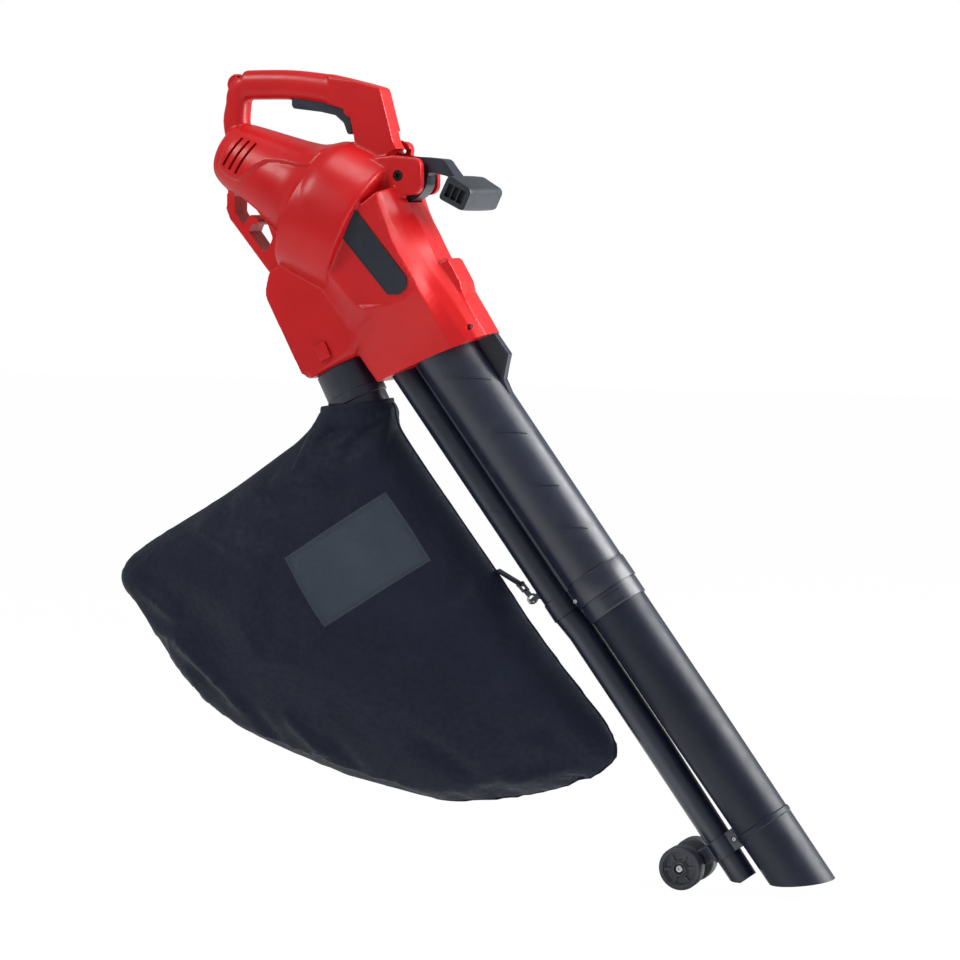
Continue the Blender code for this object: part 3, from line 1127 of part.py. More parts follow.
def lower_tube():
    """The lower suction tube: plugged into the upper one, with a sleeve step and an oblique mouth."""
    start, step, end = UPPER_LENGTH - PLUG_LENGTH + 0.001, MOUTH - 0.071, MOUTH + 0.05
    profile = [(start, LOWER_RADIUS), (UPPER_LENGTH, LOWER_RADIUS), (TAPER_START, lower_radius(TAPER_START)),
               (step - 0.001, lower_radius(step)), (step, lower_radius(step) + 0.0015),
               (step + 0.007, lower_radius(step) + 0.0015), (step + 0.008, lower_radius(step)),
               (end, lower_radius(end))]
    tube = add("lower_tube", turned(profile, TUBE_SIDES), TUBE, BLACK)
    bore = [(start - 0.02, LOWER_RADIUS - TUBE_WALL), (TAPER_START, lower_radius(TAPER_START) - TUBE_WALL),
            (MOUTH + 0.1, lower_radius(MOUTH + 0.1) - TUBE_WALL)]
    boolean(tube, add("lower_bore", turned(bore, TUBE_SIDES), TUBE), "DIFFERENCE")
    wide = 0.06
    boolean(tube, add("mouth_cut", slab([(MOUTH + MOUTH_SLOPE * wide, wide), (MOUTH + 0.2, wide),
                                         (MOUTH + 0.2, -wide), (MOUTH - MOUTH_SLOPE * wide, -wide)],
                                        -wide, wide), TUBE), "DIFFERENCE")


def duct_rings(stations):
    """A round duct below the tube's axis through (place, radius, offset) stations."""
    return rings_to_mesh([[(along, y, v) for _, y, v in turn_ring(radius, -offset, DUCT_SIDES)]
                          for along, radius, offset in stations])


def blow_duct():
    """The slim lower duct that carries the blast, chamfered at its end."""
    start = UPPER_LENGTH - 0.022
    plug = DUCT_RADIUS - TUBE_WALL - FIT
    end_radius, end_offset = lower_duct(LOWER_DUCT_END)
    duct = add("blow_duct", duct_rings([
        (start, plug, DUCT_OFFSET), (UPPER_LENGTH + 0.0025, plug, DUCT_OFFSET),
        (UPPER_LENGTH + 0.0025, LOWER_DUCT_RADIUS, DUCT_OFFSET),
        (UPPER_LENGTH + 0.030, LOWER_DUCT_RADIUS, LOWER_DUCT_OFFSET),
        (TAPER_START, LOWER_DUCT_RADIUS, LOWER_DUCT_OFFSET), (LOWER_DUCT_END, end_radius, end_offset)]),
        TUBE, BLACK)
    inner = plug - 0.0018
    past_radius, past_offset = lower_duct(LOWER_DUCT_END + 0.01)
    boolean(duct, add("duct_hollow", duct_rings([
        (start - 0.01, inner, DUCT_OFFSET), (UPPER_LENGTH + 0.0035, inner, DUCT_OFFSET),
        (UPPER_LENGTH + 0.030, inner, LOWER_DUCT_OFFSET), (TAPER_START, inner, LOWER_DUCT_OFFSET),
        (LOWER_DUCT_END + 0.01, past_radius - 0.0025, past_offset)]), TUBE), "DIFFERENCE")
    boolean(duct, add("duct_chamfer", slab([(LOWER_DUCT_END - 0.012, -end_offset - 0.022),
                                            (LOWER_DUCT_END + 0.001, -end_offset - 0.003),
                                            (LOWER_DUCT_END + 0.02, -end_offset - 0.003),
                                            (LOWER_DUCT_END + 0.02, -end_offset - 0.022)], -0.03, 0.03), TUBE),
            "DIFFERENCE")


def turn_ring(radius, drop, segments):
    """One ring of (0, y, v) points about a line below the tube's axis."""
    ring = []
    for k in range(segments):
        turn = 2.0 * math.pi * (k + 0.5) / segments
        ring.append((0.0, radius * math.sin(turn), drop + radius * math.cos(turn)))
    return ring


# Wheels
def wheel_bracket():
    """The clamp round the duct, with a lug that is screwed to the suction tube and an arm for the axle."""
    along, low = WHEEL_ALONG, -WHEEL_OFFSET
    start, end, half = along - 0.006, along + 0.020, BRACKET_HALF_WIDTH
    sleeve = [(at, lower_duct(at)[0] + 0.0026, lower_duct(at)[1]) for at in (start, end)]
    clamp = add("wheel_bracket", duct_rings(sleeve), TUBE, BLACK)
    boolean(clamp, gather("bracket_forms", [
        add("bracket_lug", slab(rounded([(start, -0.031, 0), (start, -LOWER_DUCT_OFFSET, 0),
                                         (end, -LOWER_DUCT_OFFSET, 0), (end, -0.031, 0)], 1), -half, half),
            TUBE),
        add("bracket_arm", slab(rounded([
            (along - 0.004, -0.0700, 0), (along - 0.0085, low + 0.002, 0.004), (along - 0.0060, low - 0.0085, 0.005),
            (along + 0.0070, low - 0.0085, 0.005), (along + 0.0175, -0.0700, 0)], 2),
            -WHEEL_TRACK / 2 + WHEEL_WIDTH / 2 + PLUG_FIT, WHEEL_TRACK / 2 - WHEEL_WIDTH / 2 - PLUG_FIT, 0.001, 1),
            TUBE),
    ]), "UNION")
    screw = (along + 0.007, -BRACKET_SCREW_DROP)
    boolean(clamp, gather("bracket_bores", [
        add("bracket_tube_bore", turned([(at, lower_radius(at) + FIT) for at in (along - 0.03, along + 0.03)],
                                        TUBE_SIDES), TUBE),
        add("bracket_duct_bore", duct_rings([(at, lower_duct(at)[0] + FIT, lower_duct(at)[1])
                                             for at in (along - 0.03, along + 0.05)]), TUBE),
        add("bracket_axle_bore", cross_turned([(-0.05, AXLE_RADIUS + FIT), (0.05, AXLE_RADIUS + FIT)], 14,
                                              centre=(along, low)), TUBE),
        add("bracket_screw_hole", cross_turned([(-0.05, SCREW_HEAD_RADIUS + FIT), (-half + 0.003,
            SCREW_HEAD_RADIUS + FIT), (-half + 0.003, SCREW_RADIUS + FIT), (-half + 0.010,
            SCREW_RADIUS + FIT)], 8, centre=screw), TUBE),
    ]), "DIFFERENCE")
    add("bracket_screw", cross_turned([
        (-half + 0.010 - FIT, SCREW_RADIUS), (-half + 0.003 - FIT, SCREW_RADIUS),
        (-half + 0.003 - FIT, SCREW_HEAD_RADIUS), (-half + 0.0005, SCREW_HEAD_RADIUS - 0.0008),
        (-half + 0.0005, 0.0014), (-half + 0.0017, 0.0010)], 8, centre=screw), TUBE, STEEL)


def wheels():
    """Two moulded wheels on a steel axle, each kept on by a screw in its hub."""
    seat = bpy.data.objects.new("axle_frame", None)
    bpy.context.scene.collection.objects.link(seat)
    seat.parent = TUBE
    seat.location = (WHEEL_ALONG, 0.0, -WHEEL_OFFSET)
    end = WHEEL_TRACK / 2.0 + WHEEL_WIDTH / 2.0 - 0.004
    add("wheel_axle", cross_turned([(-end, AXLE_RADIUS - 0.0004), (-end + 0.0004, AXLE_RADIUS),
                                    (end - 0.0004, AXLE_RADIUS), (end, AXLE_RADIUS - 0.0004)], 12), seat, STEEL)
    bore = AXLE_RADIUS + 0.0004
    r, half = WHEEL_RADIUS, WHEEL_WIDTH / 2.0
    for side, word in ((-1, "left"), (1, "right")):
        middle = side * WHEEL_TRACK / 2.0
        profile = [(half, 0.0068), (half, 0.0090), (half - 0.0035, 0.0100), (half - 0.0035, r - 0.0065),
                   (half, r - 0.0050), (half - 0.0020, r), (-half + 0.0020, r), (-half, r - 0.0020), (-half, bore),
                   (half - 0.0040 + FIT, bore), (half - 0.0040 + FIT, 0.0068)]
        add("wheel_" + word, cross_turned([(middle + side * y, radius) for y, radius in profile], 14,
                                          closed=True), seat, BLACK)
        face = end + FIT
        add("wheel_screw_" + word, cross_turned([
            (side * face, 0.0052), (side * (face + 0.0022), 0.0052), (side * (face + 0.0034), 0.0040),
            (side * (face + 0.0034), 0.0016), (side * (face + 0.0018), 0.0012)], 8), seat, STEEL)


def tube_screws():
    """The screw at the tube joint and the one in the collar."""
    r = UPPER_END_RADIUS + 0.0014
    along = UPPER_LENGTH - 0.004
    drop = -0.034
    face = math.sqrt(r * r - drop * drop)
    body = bpy.data.objects["upper_tube"]
    boolean(body, add("joint_screw_hole", cross_turned([(-face - 0.02, SCREW_HEAD_RADIUS + FIT),
                                                        (-face + 0.0002, SCREW_HEAD_RADIUS + FIT)], 8,
                                                       centre=(along, drop)), TUBE), "DIFFERENCE")
    add("joint_screw", cross_turned([
        (-face - 0.0014, 0.0012), (-face - 0.0026, 0.0014), (-face - 0.0026, SCREW_HEAD_RADIUS - 0.0008),
        (-face - 0.0004, SCREW_HEAD_RADIUS), (-face - 0.0001, SCREW_HEAD_RADIUS)], 8, centre=(along, drop)),
        TUBE, STEEL)


# Bag
def bag_spout():
    """The rigid neck that plugs into the outlet, with a stop bead under the housing."""
    r = SPOUT_RADIUS
    add("bag_spout", turned([
        (-SPOUT_DEPTH, r - SPOUT_WALL + 0.0004), (-SPOUT_DEPTH, r), (SPOUT_REACH - 0.012, r + 0.0006),
        (SPOUT_REACH - 0.011, r + SPOUT_BEAD), (SPOUT_REACH, r + SPOUT_BEAD), (SPOUT_REACH, r - SPOUT_WALL + 0.0004)],
        SPOUT_SIDES, closed=True), SPOUT, BLACK)


def bag():
    """The filled bag: sections from the round neck to the long bottom seam, each a soft lens."""
    plan = [
        ((0.038, -0.4115), (0.122, -0.3860), 0.043, 0.50), ((0.012, -0.440), (0.133, -0.424), 0.048, 0.52),
        ((-0.033, -0.476), (0.160, -0.472), 0.055, 0.56), ((-0.100, -0.522), (0.207, -0.533), 0.064, 0.62),
        ((-0.155, -0.556), (BAG_EDGE_X, BAG_EDGE_Z), 0.074, 0.68), ((-0.205, -0.585), (0.312, -0.672), 0.081, 0.72),
        ((-0.250, -0.615), (0.352, -0.722), BAG_DEPTH, 0.75), ((-0.269, -0.640), (0.385, -0.761), BAG_DEPTH, 0.75),
        ((-0.268, -0.660), (0.419, -0.804), BAG_DEPTH - 0.003, 0.75), ((-0.249, -0.686), (0.429, -0.838), 0.077, 0.75),
        ((-0.221, -0.730), (0.412, -0.859), 0.067, 0.74), ((-0.187, -0.774), (0.375, -0.882), 0.055, 0.72),
        ((-0.142, -0.818), (0.325, -0.900), 0.040, 0.70), ((-0.085, -0.850), (0.270, -0.913), 0.025, 0.66),
        ((-0.005, -0.877), (0.200, -0.918), 0.010, 0.60),
    ]
    rings = []
    half_count = 8
    for left, right, depth, power in plan:
        ring = []
        for k in range(2 * half_count):
            turn = math.pi * k / half_count
            across = -math.cos(turn)
            swell = max(0.0, 1.0 - across * across) ** power * math.copysign(1.0, math.sin(turn + 1e-9))
            x = left[0] + (right[0] - left[0]) * (across + 1.0) / 2.0
            z = left[1] + (right[1] - left[1]) * (across + 1.0) / 2.0
            ring.append((x, -depth * swell, z))
        rings.append(ring)
    sack = add("bag", rings_to_mesh(rings), BODY, FABRIC)
    clear = SPOUT_RADIUS + SPOUT_BEAD + 0.0004
    boolean(sack, add("bag_mouth", turned([(-0.05, clear), (SPOUT_REACH + 0.0004, clear)], SPOUT_SIDES), SPOUT),
            "DIFFERENCE")


def hook_arc(radius, start, end, steps):
    """Points on an arc in radians about the middle of the hook's ring."""
    return [(p.x, p.y) for p in arc((0, 0), radius, math.degrees(start), math.degrees(end), steps)]


def gate_outline(outer, inner, start, reach):
    """A stretch of the hook's ring that ends at a given reach from the gate's hinge, so that it can swing in."""
    middle = (HOOK_INNER + HOOK_OUTER) / 2.0
    tip = []
    for k in range(5):
        r = outer + (inner - outer) * k / 4.0
        turn = GATE_START + math.acos((r * r + middle * middle - reach * reach) / (2.0 * r * middle))
        tip.append((r * math.cos(turn), r * math.sin(turn)))
    last = math.atan2(tip[0][1], tip[0][0])
    first = math.atan2(tip[4][1], tip[4][0])
    return hook_arc(outer, start, last, 4)[:-1] + tip + hook_arc(inner, first, start, 5)[1:]


def bag_trim():
    """The snap hook on the tube's staple, its gate, and the folded strap from it to the bag's edge."""
    slack = math.sqrt((HOOK_INNER - FIT) ** 2 - STAPLE_RADIUS ** 2) - STAPLE_RADIUS
    towards = Vector((math.cos(HOOK_TILT), math.sin(HOOK_TILT)))
    seat = bpy.data.objects.new("hook_frame", None)
    bpy.context.scene.collection.objects.link(seat)
    seat.parent = TUBE
    seat.location = (STAPLE_X + slack * towards.x, 0.0, STAPLE_Z + slack * towards.y)
    seat.rotation_euler = (0.0, -HOOK_TILT, 0.0)
    flat = HOOK_HALF_THICKNESS
    middle = (HOOK_INNER + HOOK_OUTER) / 2.0
    knuckle = (HOOK_OUTER - HOOK_INNER) / 2.0
    hinge = (middle * math.cos(GATE_START), middle * math.sin(GATE_START))
    base = HOOK_BAR - 0.0085
    half = STRAP_HALF_WIDTH + 0.0030
    hook = add("snap_hook", slab(hook_arc(HOOK_OUTER, 0.0, 2 * math.pi * 19 / 20, 19), -flat, flat),
               seat, BLACK)
    boolean(hook, gather("hook_forms", [
        add("hook_neck", slab([(HOOK_OUTER - 0.003, -0.0030), (base, -0.0030), (base, 0.0030),
                               (HOOK_OUTER - 0.003, 0.0030)], -flat, flat), seat),
        add("hook_base", block((base - 0.0030, -half, -0.0016), (base, half, 0.0016)), seat),
        add("hook_arm_left", block((base - 0.001, -half, -0.0016), (HOOK_BAR, -half + 0.0025, 0.0016)), seat),
        add("hook_arm_right", block((base - 0.001, half - 0.0025, -0.0016), (HOOK_BAR, half, 0.0016)), seat),
        add("hook_bar", cross_turned([(-half, HOOK_BAR_RADIUS), (half, HOOK_BAR_RADIUS)], 10,
                                     centre=(HOOK_BAR, 0.0)), seat),
    ]), "UNION")
    window = gate_outline(HOOK_OUTER + 0.002, HOOK_INNER - 0.001, GATE_START, GATE_REACH + FIT)
    boolean(hook, gather("hook_spaces", [
        add("hook_hole", slab(hook_arc(HOOK_INNER, 0.0, 2 * math.pi * 15 / 16, 15), -0.01, 0.01), seat),
        add("gate_window", slab(window, -0.01, 0.01), seat),
        add("gate_seat", cross_turned([(-0.01, knuckle + FIT), (0.01, knuckle + FIT)], 12, centre=hinge), seat),
    ]), "DIFFERENCE")
    leaf = gate_outline(HOOK_OUTER, HOOK_INNER, GATE_START + 0.05, GATE_REACH)
    gate = add("hook_gate", slab(leaf, -flat + FIT, flat - FIT), seat, STEEL)
    boolean(gate, add("gate_knuckle", cross_turned([(-flat + FIT, knuckle), (flat - FIT, knuckle)], 12,
                                                   centre=hinge), seat), "UNION")
    bpy.context.view_layer.update()
    bar = seat.matrix_world @ Vector((HOOK_BAR, 0.0, 0.0))
    tail = Vector((BAG_EDGE_X - bar.x, BAG_EDGE_Z - bar.z))
    reach = tail.length - 2 * FIT
    turn = math.atan2(-tail.y, tail.x)
    line = axis_frame("strap_axis", bar.x, bar.z, turn)
    inner = (HOOK_BAR_RADIUS + FIT) / math.cos(math.pi / 12)
    fold = inner + STRAP_THICKNESS / 2.0
    thick = STRAP_THICKNESS / 2.0
    opening = math.asin(thick / fold)
    outline = [(fold * math.cos(a), fold * math.sin(a))
               for a in (opening + (2 * math.pi - 2 * opening) * k / 14 for k in range(15))]
    outline += [(reach, -thick), (reach - 0.0056, thick)]
    strap = add("bag_strap", slab(outline, -STRAP_HALF_WIDTH, STRAP_HALF_WIDTH), line, FABRIC)
    boolean(strap, add("strap_fold", cross_turned([(-0.02, inner), (0.02, inner)], 12), line), "DIFFERENCE")


impeller()
motor()
inlet()
housing()
trigger()
dial()
electrics()
fasteners()
front_handle()
pivot_fittings()
badge()
changeover()
latch()
upper_tube()
lower_tube()
blow_duct()
wheel_bracket()
wheels()
tube_screws()
bag_spout()
bag()
bag_trim()
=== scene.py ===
"""Looks of a corded garden blower and vacuum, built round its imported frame. Metres, +Z up."""
import json
from math import copysign, cos, exp, hypot, pi, radians, sin, tan

import bmesh
import bpy
from mathutils import Matrix, Vector, noise


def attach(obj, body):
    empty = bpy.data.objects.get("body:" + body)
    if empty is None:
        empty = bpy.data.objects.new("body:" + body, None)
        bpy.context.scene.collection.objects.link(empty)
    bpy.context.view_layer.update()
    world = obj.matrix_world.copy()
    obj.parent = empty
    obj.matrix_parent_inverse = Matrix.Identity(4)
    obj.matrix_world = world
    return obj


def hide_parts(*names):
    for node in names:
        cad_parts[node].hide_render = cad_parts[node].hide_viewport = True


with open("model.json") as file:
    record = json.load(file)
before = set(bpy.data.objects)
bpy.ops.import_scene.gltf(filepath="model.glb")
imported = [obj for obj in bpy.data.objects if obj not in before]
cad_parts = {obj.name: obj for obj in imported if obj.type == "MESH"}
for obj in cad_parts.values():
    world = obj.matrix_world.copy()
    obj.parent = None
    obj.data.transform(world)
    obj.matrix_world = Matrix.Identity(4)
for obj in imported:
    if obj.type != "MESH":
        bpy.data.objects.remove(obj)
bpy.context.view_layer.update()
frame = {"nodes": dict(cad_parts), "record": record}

# The photographer's table: a pale matt board under two large soft boxes, with the camera level with
# the middle of the machine and a little behind its left side.
scene = bpy.context.scene
scene.view_settings.view_transform = "Standard"
CAMERA_PLACE = Vector((1.65573, -3.40262, -0.1465))
CAMERA_TURN, CAMERA_RISE = radians(22.5), radians(5.5)
back = Vector((sin(CAMERA_TURN) * cos(CAMERA_RISE), -cos(CAMERA_TURN) * cos(CAMERA_RISE), sin(CAMERA_RISE)))
camera = bpy.data.objects.new("camera", bpy.data.cameras.new("camera"))
scene.collection.objects.link(camera)
camera.data.lens, camera.data.sensor_width = 109.25, 36.0
camera.location = CAMERA_PLACE
camera.rotation_mode = "QUATERNION"
camera.rotation_quaternion = (-back).to_track_quat("-Z", "Y")
scene.camera = camera


def softbox(name, place, aim, size, watts):
    """A square soft box at a place, turned to a point of the machine."""
    made = bpy.data.objects.new(name, bpy.data.lights.new(name, "AREA"))
    scene.collection.objects.link(made)
    made.data.size, made.data.energy = size, watts
    made.location = place
    made.rotation_mode = "QUATERNION"
    made.rotation_quaternion = (Vector(aim) - Vector(place)).to_track_quat("-Z", "Y")


softbox("key_box", (-1.7, -2.3, 1.9), (0.1, 0.0, -0.4), 1.2, 62)
softbox("top_box", (0.3, -0.3, 2.2), (0.1, 0.0, -0.5), 1.0, 24)
softbox("rim_box", (2.3, 0.8, 0.3), (0.25, 0.0, -0.5), 1.9, 135)


def put(tree, kind, inputs=(), **settings):
    """Place a shader node, set its choices, and feed its sockets with values or with other sockets."""
    made = tree.nodes.new(kind)
    for name, value in settings.items():
        setattr(made, name, value)
    for socket, value in dict(inputs).items():
        if isinstance(value, bpy.types.NodeSocket):
            tree.links.new(value, made.inputs[socket])
        else:
            made.inputs[socket].default_value = value
    return made


def worked(tree, first, second, operation):
    """The outcome of one sum on two values."""
    return put(tree, "ShaderNodeMath", {0: first, 1: second}, operation=operation).outputs[0]


def seen_directly(tree):
    """1 for what the camera sees straight or through a gap, and 0 for light that falls on a surface."""
    path = put(tree, "ShaderNodeLightPath")
    return worked(tree, path.outputs["Is Camera Ray"], path.outputs["Is Transmission Ray"], "MAXIMUM")


scene.world = bpy.data.worlds.new("studio")
scene.world.use_nodes = True
tree = scene.world.node_tree
tree.nodes.clear()
strength = put(tree, "ShaderNodeMapRange", {"Value": seen_directly(tree), "To Min": 0.34, "To Max": 1.0})
sky = put(tree, "ShaderNodeBackground", {"Color": (1, 1, 1, 1), "Strength": strength.outputs[0]})
put(tree, "ShaderNodeOutputWorld", {"Surface": sky.outputs[0]})

FLOOR = -0.9986
board = bpy.data.meshes.new("table")
board.from_pydata([(-9, -9, FLOOR), (9, -9, FLOOR), (9, 9, FLOOR), (-9, 9, FLOOR)], [], [(0, 1, 2, 3)])
floor = bpy.data.objects.new("table", board)
scene.collection.objects.link(floor)
paint = bpy.data.materials.new("table_paint")
paint.use_nodes = True
tree = paint.node_tree
tree.nodes.clear()
matt = put(tree, "ShaderNodeBsdfPrincipled", {"Base Color": (0.9, 0.9, 0.9, 1), "Roughness": 0.9})
glow = put(tree, "ShaderNodeEmission", {"Color": (1, 1, 1, 1), "Strength": 1.0})
share = worked(tree, seen_directly(tree), 0.985, "MULTIPLY")
both = put(tree, "ShaderNodeMixShader", {0: share, 1: matt.outputs[0], 2: glow.outputs[0]})
put(tree, "ShaderNodeOutputMaterial", {"Surface": both.outputs[0]})
board.materials.append(paint)


# The two housing halves: red glossy plastic, injection-moulded, that meet on the middle plane and hold the
# motor, the fan and both tubes. One body is formed, softened as a mould is, opened up, and split.
def effect(name, inputs):
    """A shared shader effect that gives a colour, a roughness and a height. Returns its tree, its input node
    and the place on the object."""
    made = bpy.data.node_groups.new(name, "ShaderNodeTree")
    for label, value in inputs.items():
        kind = "NodeSocketColor" if isinstance(value, tuple) else "NodeSocketFloat"
        made.interface.new_socket(label, in_out="INPUT", socket_type=kind).default_value = value
    for label, kind in (("Color", "Color"), ("Roughness", "Float"), ("Height", "Float")):
        made.interface.new_socket(label, in_out="OUTPUT", socket_type="NodeSocket" + kind)
    return made, made.nodes.new("NodeGroupInput"), put(made, "ShaderNodeTexCoord").outputs["Object"]


def ranged(tree, value, low, high, to_low=0.0, to_high=1.0):
    """A value mapped from one range to another, held at its ends."""
    return put(tree, "ShaderNodeMapRange", {"Value": value, "From Min": low, "From Max": high, "To Min": to_low,
        "To Max": to_high}).outputs[0]


def blended(tree, share, first, second):
    """Two colours mixed by a share."""
    return put(tree, "ShaderNodeMix", {0: share, 6: first, 7: second}, data_type="RGBA").outputs[2]


def mottled(tree, where, scale, detail, roughness=0.5):
    """A cloudy noise of one scale."""
    return put(tree, "ShaderNodeTexNoise", {"Vector": where, "Scale": scale, "Detail": detail,
        "Roughness": roughness}).outputs[0]


moulded_skin, given, where = effect("moulded_skin", {"Dark": (0.5, 0.5, 0.5, 1), "Light": (0.6, 0.6, 0.6, 1),
    "Scuff": (0.7, 0.7, 0.7, 1), "Grain": 900.0, "Smoothest": 0.25, "Roughest": 0.4})
flow = mottled(moulded_skin, where, 7.0, 3.0)
handled = mottled(moulded_skin, where, 46.0, 6.0, 0.62)
grain = mottled(moulded_skin, where, given.outputs["Grain"], 2.0)
stretch = put(moulded_skin, "ShaderNodeMapping", {"Vector": where, "Rotation": (0.4, 0.9, 0.3),
    "Scale": (260.0, 34.0, 34.0)}).outputs[0]
scratch = mottled(moulded_skin, stretch, 1.0, 2.0)
tone = blended(moulded_skin, ranged(moulded_skin, flow, 0.35, 0.65), given.outputs["Dark"],
    given.outputs["Light"])
marks = worked(moulded_skin, ranged(moulded_skin, scratch, 0.66, 0.74, 0.0, 0.5),
    ranged(moulded_skin, handled, 0.52, 0.66), "MULTIPLY")
tone = blended(moulded_skin, marks, tone, given.outputs["Scuff"])
sheen = ranged(moulded_skin, handled, 0.3, 0.7, given.outputs["Smoothest"], given.outputs["Roughest"])
raised = worked(moulded_skin, ranged(moulded_skin, grain, 0.3, 0.7), marks, "SUBTRACT")
put(moulded_skin, "NodeGroupOutput", {"Color": tone, "Roughness": sheen, "Height": raised})


def finish(name, group, values, metallic=0.0, bump=0.05, depth=0.0002, **shader):
    """A finish: one shared effect feeding a Principled shader's colour, roughness and bump."""
    made = bpy.data.materials.new(name)
    made.use_nodes = True
    tree = made.node_tree
    tree.nodes.clear()
    skin = put(tree, "ShaderNodeGroup", node_tree=group)
    for label, value in values.items():
        skin.inputs[label].default_value = value
    raised = put(tree, "ShaderNodeBump", {"Strength": bump, "Distance": depth, "Height": skin.outputs["Height"]})
    surface = put(tree, "ShaderNodeBsdfPrincipled", {"Base Color": skin.outputs["Color"],
        "Roughness": skin.outputs["Roughness"], "Normal": raised.outputs[0], "Metallic": metallic})
    for label, value in shader.items():
        surface.inputs[label.replace("_", " ").title().replace("Ior", "IOR")].default_value = value
    put(tree, "ShaderNodeOutputMaterial", {"Surface": surface.outputs[0]})
    return made


def plastic(name, dark, light, scuff, grain, smoothest, roughest, **more):
    """A moulded plastic from its two tones, the tone of its scuffs, its grain and its range of roughness."""
    return finish(name, moulded_skin, {"Dark": (*dark, 1), "Light": (*light, 1), "Scuff": (*scuff, 1), "Grain": grain,
        "Smoothest": smoothest, "Roughest": roughest}, **more)


RED = plastic("red_gloss_plastic", (0.455, 0.006, 0.0085), (0.54, 0.0085, 0.01), (0.6, 0.03, 0.03), 700.0, 0.3, 0.42,
    bump=0.06, specular_ior_level=0.28, coat_weight=0.05, coat_roughness=0.16)


def mm(sizes):
    """Sizes written in millimetres, as metres, at any depth of a table."""
    return [mm(size) for size in sizes] if isinstance(sizes, (list, tuple)) else sizes / 1000.0


def axis(x, z, tilt):
    """A frame whose X axis points forward and down by the tilt, with its Y axis across the machine."""
    return Matrix.Translation((x, 0.0, z)) @ Matrix.Rotation(tilt, 4, "Y")


DUCT_DROP = 0.062
TUBE_X, TUBE_Z, TUBE_TILT = 0.194, -0.33, radians(53.5)
PIVOT_X, PIVOT_Z = 0.1475, -0.1165
BODY = Matrix.Identity(4)
FAN = axis(0.0638, -0.1657, radians(26))
TUBE = axis(TUBE_X, TUBE_Z, TUBE_TILT)
SPOUT = axis(0.056, -0.361, radians(63.2))
PIVOT = axis(PIVOT_X, PIVOT_Z, 0.0)
TRIGGER_PIN, DIAL, STRAP_EYE, FLAP_PIN = (0.064, -0.0275), (-0.0935, 0.002), (0.131, -0.084), (0.076, -0.318)


def form(name, bm, place, material=None):
    """A mesh set in a frame as an object of its own, with its faces turned out."""
    bmesh.ops.transform(bm, matrix=place, verts=bm.verts)
    bmesh.ops.recalc_face_normals(bm, faces=bm.faces)
    mesh = bpy.data.meshes.new(name)
    bm.to_mesh(mesh)
    bm.free()
    made = bpy.data.objects.new(name, mesh)
    scene.collection.objects.link(made)
    if material:
        mesh.materials.append(material)
    return made


def skinned(rings, closed=False):
    """A skin over equal rings. The ends are capped, or the last ring meets the first."""
    bm = bmesh.new()
    loops = [[bm.verts.new(p) for p in ring] for ring in rings]
    count = len(loops[0])
    pairs = list(zip(loops, loops[1:])) + ([(loops[-1], loops[0])] if closed else [])
    for first, second in pairs:
        for i in range(count):
            j = (i + 1) % count
            bm.faces.new((first[i], first[j], second[j], second[i]))
    if not closed:
        bm.faces.new(loops[0])
        bm.faces.new(loops[-1])
    return bm


def around(sides):
    """Even turns about a line, in radians."""
    return [2.0 * pi * (k + 0.5) / sides for k in range(sides)]


def turned(profile, sides, closed=False, drop=0.0):
    """(x, radius) points turned about the frame's X axis, or about a line below it. A third value of a
    point is its own drop."""
    rings = []
    for x, radius, *own in profile:
        low = own[0] if own else drop
        rings.append([(x, radius * sin(t), radius * cos(t) - low) for t in around(sides)])
    return skinned(rings, closed)


def cross_turned(profile, sides, closed=False, centre=(0.0, 0.0)):
    """(y, radius) points turned about a crosswise line through centre (x, z)."""
    return skinned([[(centre[0] + radius * cos(t), y, centre[1] + radius * sin(t)) for t in around(sides)]
        for y, radius in profile], closed)


def flowing(points, steps):
    """A smooth line through points of any number of values, each span in equal steps."""
    made = []
    for i in range(len(points) - 1):
        a, b, c, d = (points[max(i - 1, 0)], points[i], points[i + 1], points[min(i + 2, len(points) - 1)])
        for k in range(steps):
            t = k / steps
            made.append([0.5 * (2 * q + (r - p) * t + (2 * p - 5 * q + 4 * r - s) * t * t
                + (3 * q - p - 3 * r + s) * t * t * t) for p, q, r, s in zip(a, b, c, d)])
    return made + [list(points[-1])]


def rounded(corners, steps=6):
    """An outline of (x, z, radius) corners, each radius drawn as an arc."""
    points = []
    for i, corner in enumerate(corners):
        here, radius = Vector(corner[:2]), (corner[2] if len(corner) > 2 else 0.0)
        if radius <= 0.0:
            points.append(here)
            continue
        behind = (Vector(corners[i - 1][:2]) - here).normalized()
        ahead = (Vector(corners[(i + 1) % len(corners)][:2]) - here).normalized()
        half = behind.angle(ahead) / 2.0
        reach = radius / tan(half)
        centre = here + (behind + ahead).normalized() * radius / sin(half)
        start, end = here + behind * reach - centre, here + ahead * reach - centre
        sweep = start.angle_signed(end)
        points += [centre + Matrix.Rotation(-sweep * k / steps, 2) @ start for k in range(steps + 1)]
    return points


def slab(outline, low, high, bevel=0.0, segments=3):
    """An (x, z) outline carried across the machine from y = low to y = high, with rounded rims."""
    bm = skinned([[(p[0], y, p[1]) for p in outline] for y in (low, high)])
    if bevel > 0.0:
        rims = [edge for edge in bm.edges if abs(edge.verts[0].co.y - edge.verts[1].co.y) < 1e-9]
        bmesh.ops.bevel(bm, geom=rims, offset=bevel, offset_type="OFFSET", segments=segments, profile=0.5,
            affect="EDGES", clamp_overlap=True)
    return bm


def block(low, high):
    """A plain box between two corners."""
    return slab([(low[0], low[2]), (high[0], low[2]), (high[0], high[2]), (low[0], high[2])], low[1], high[1])


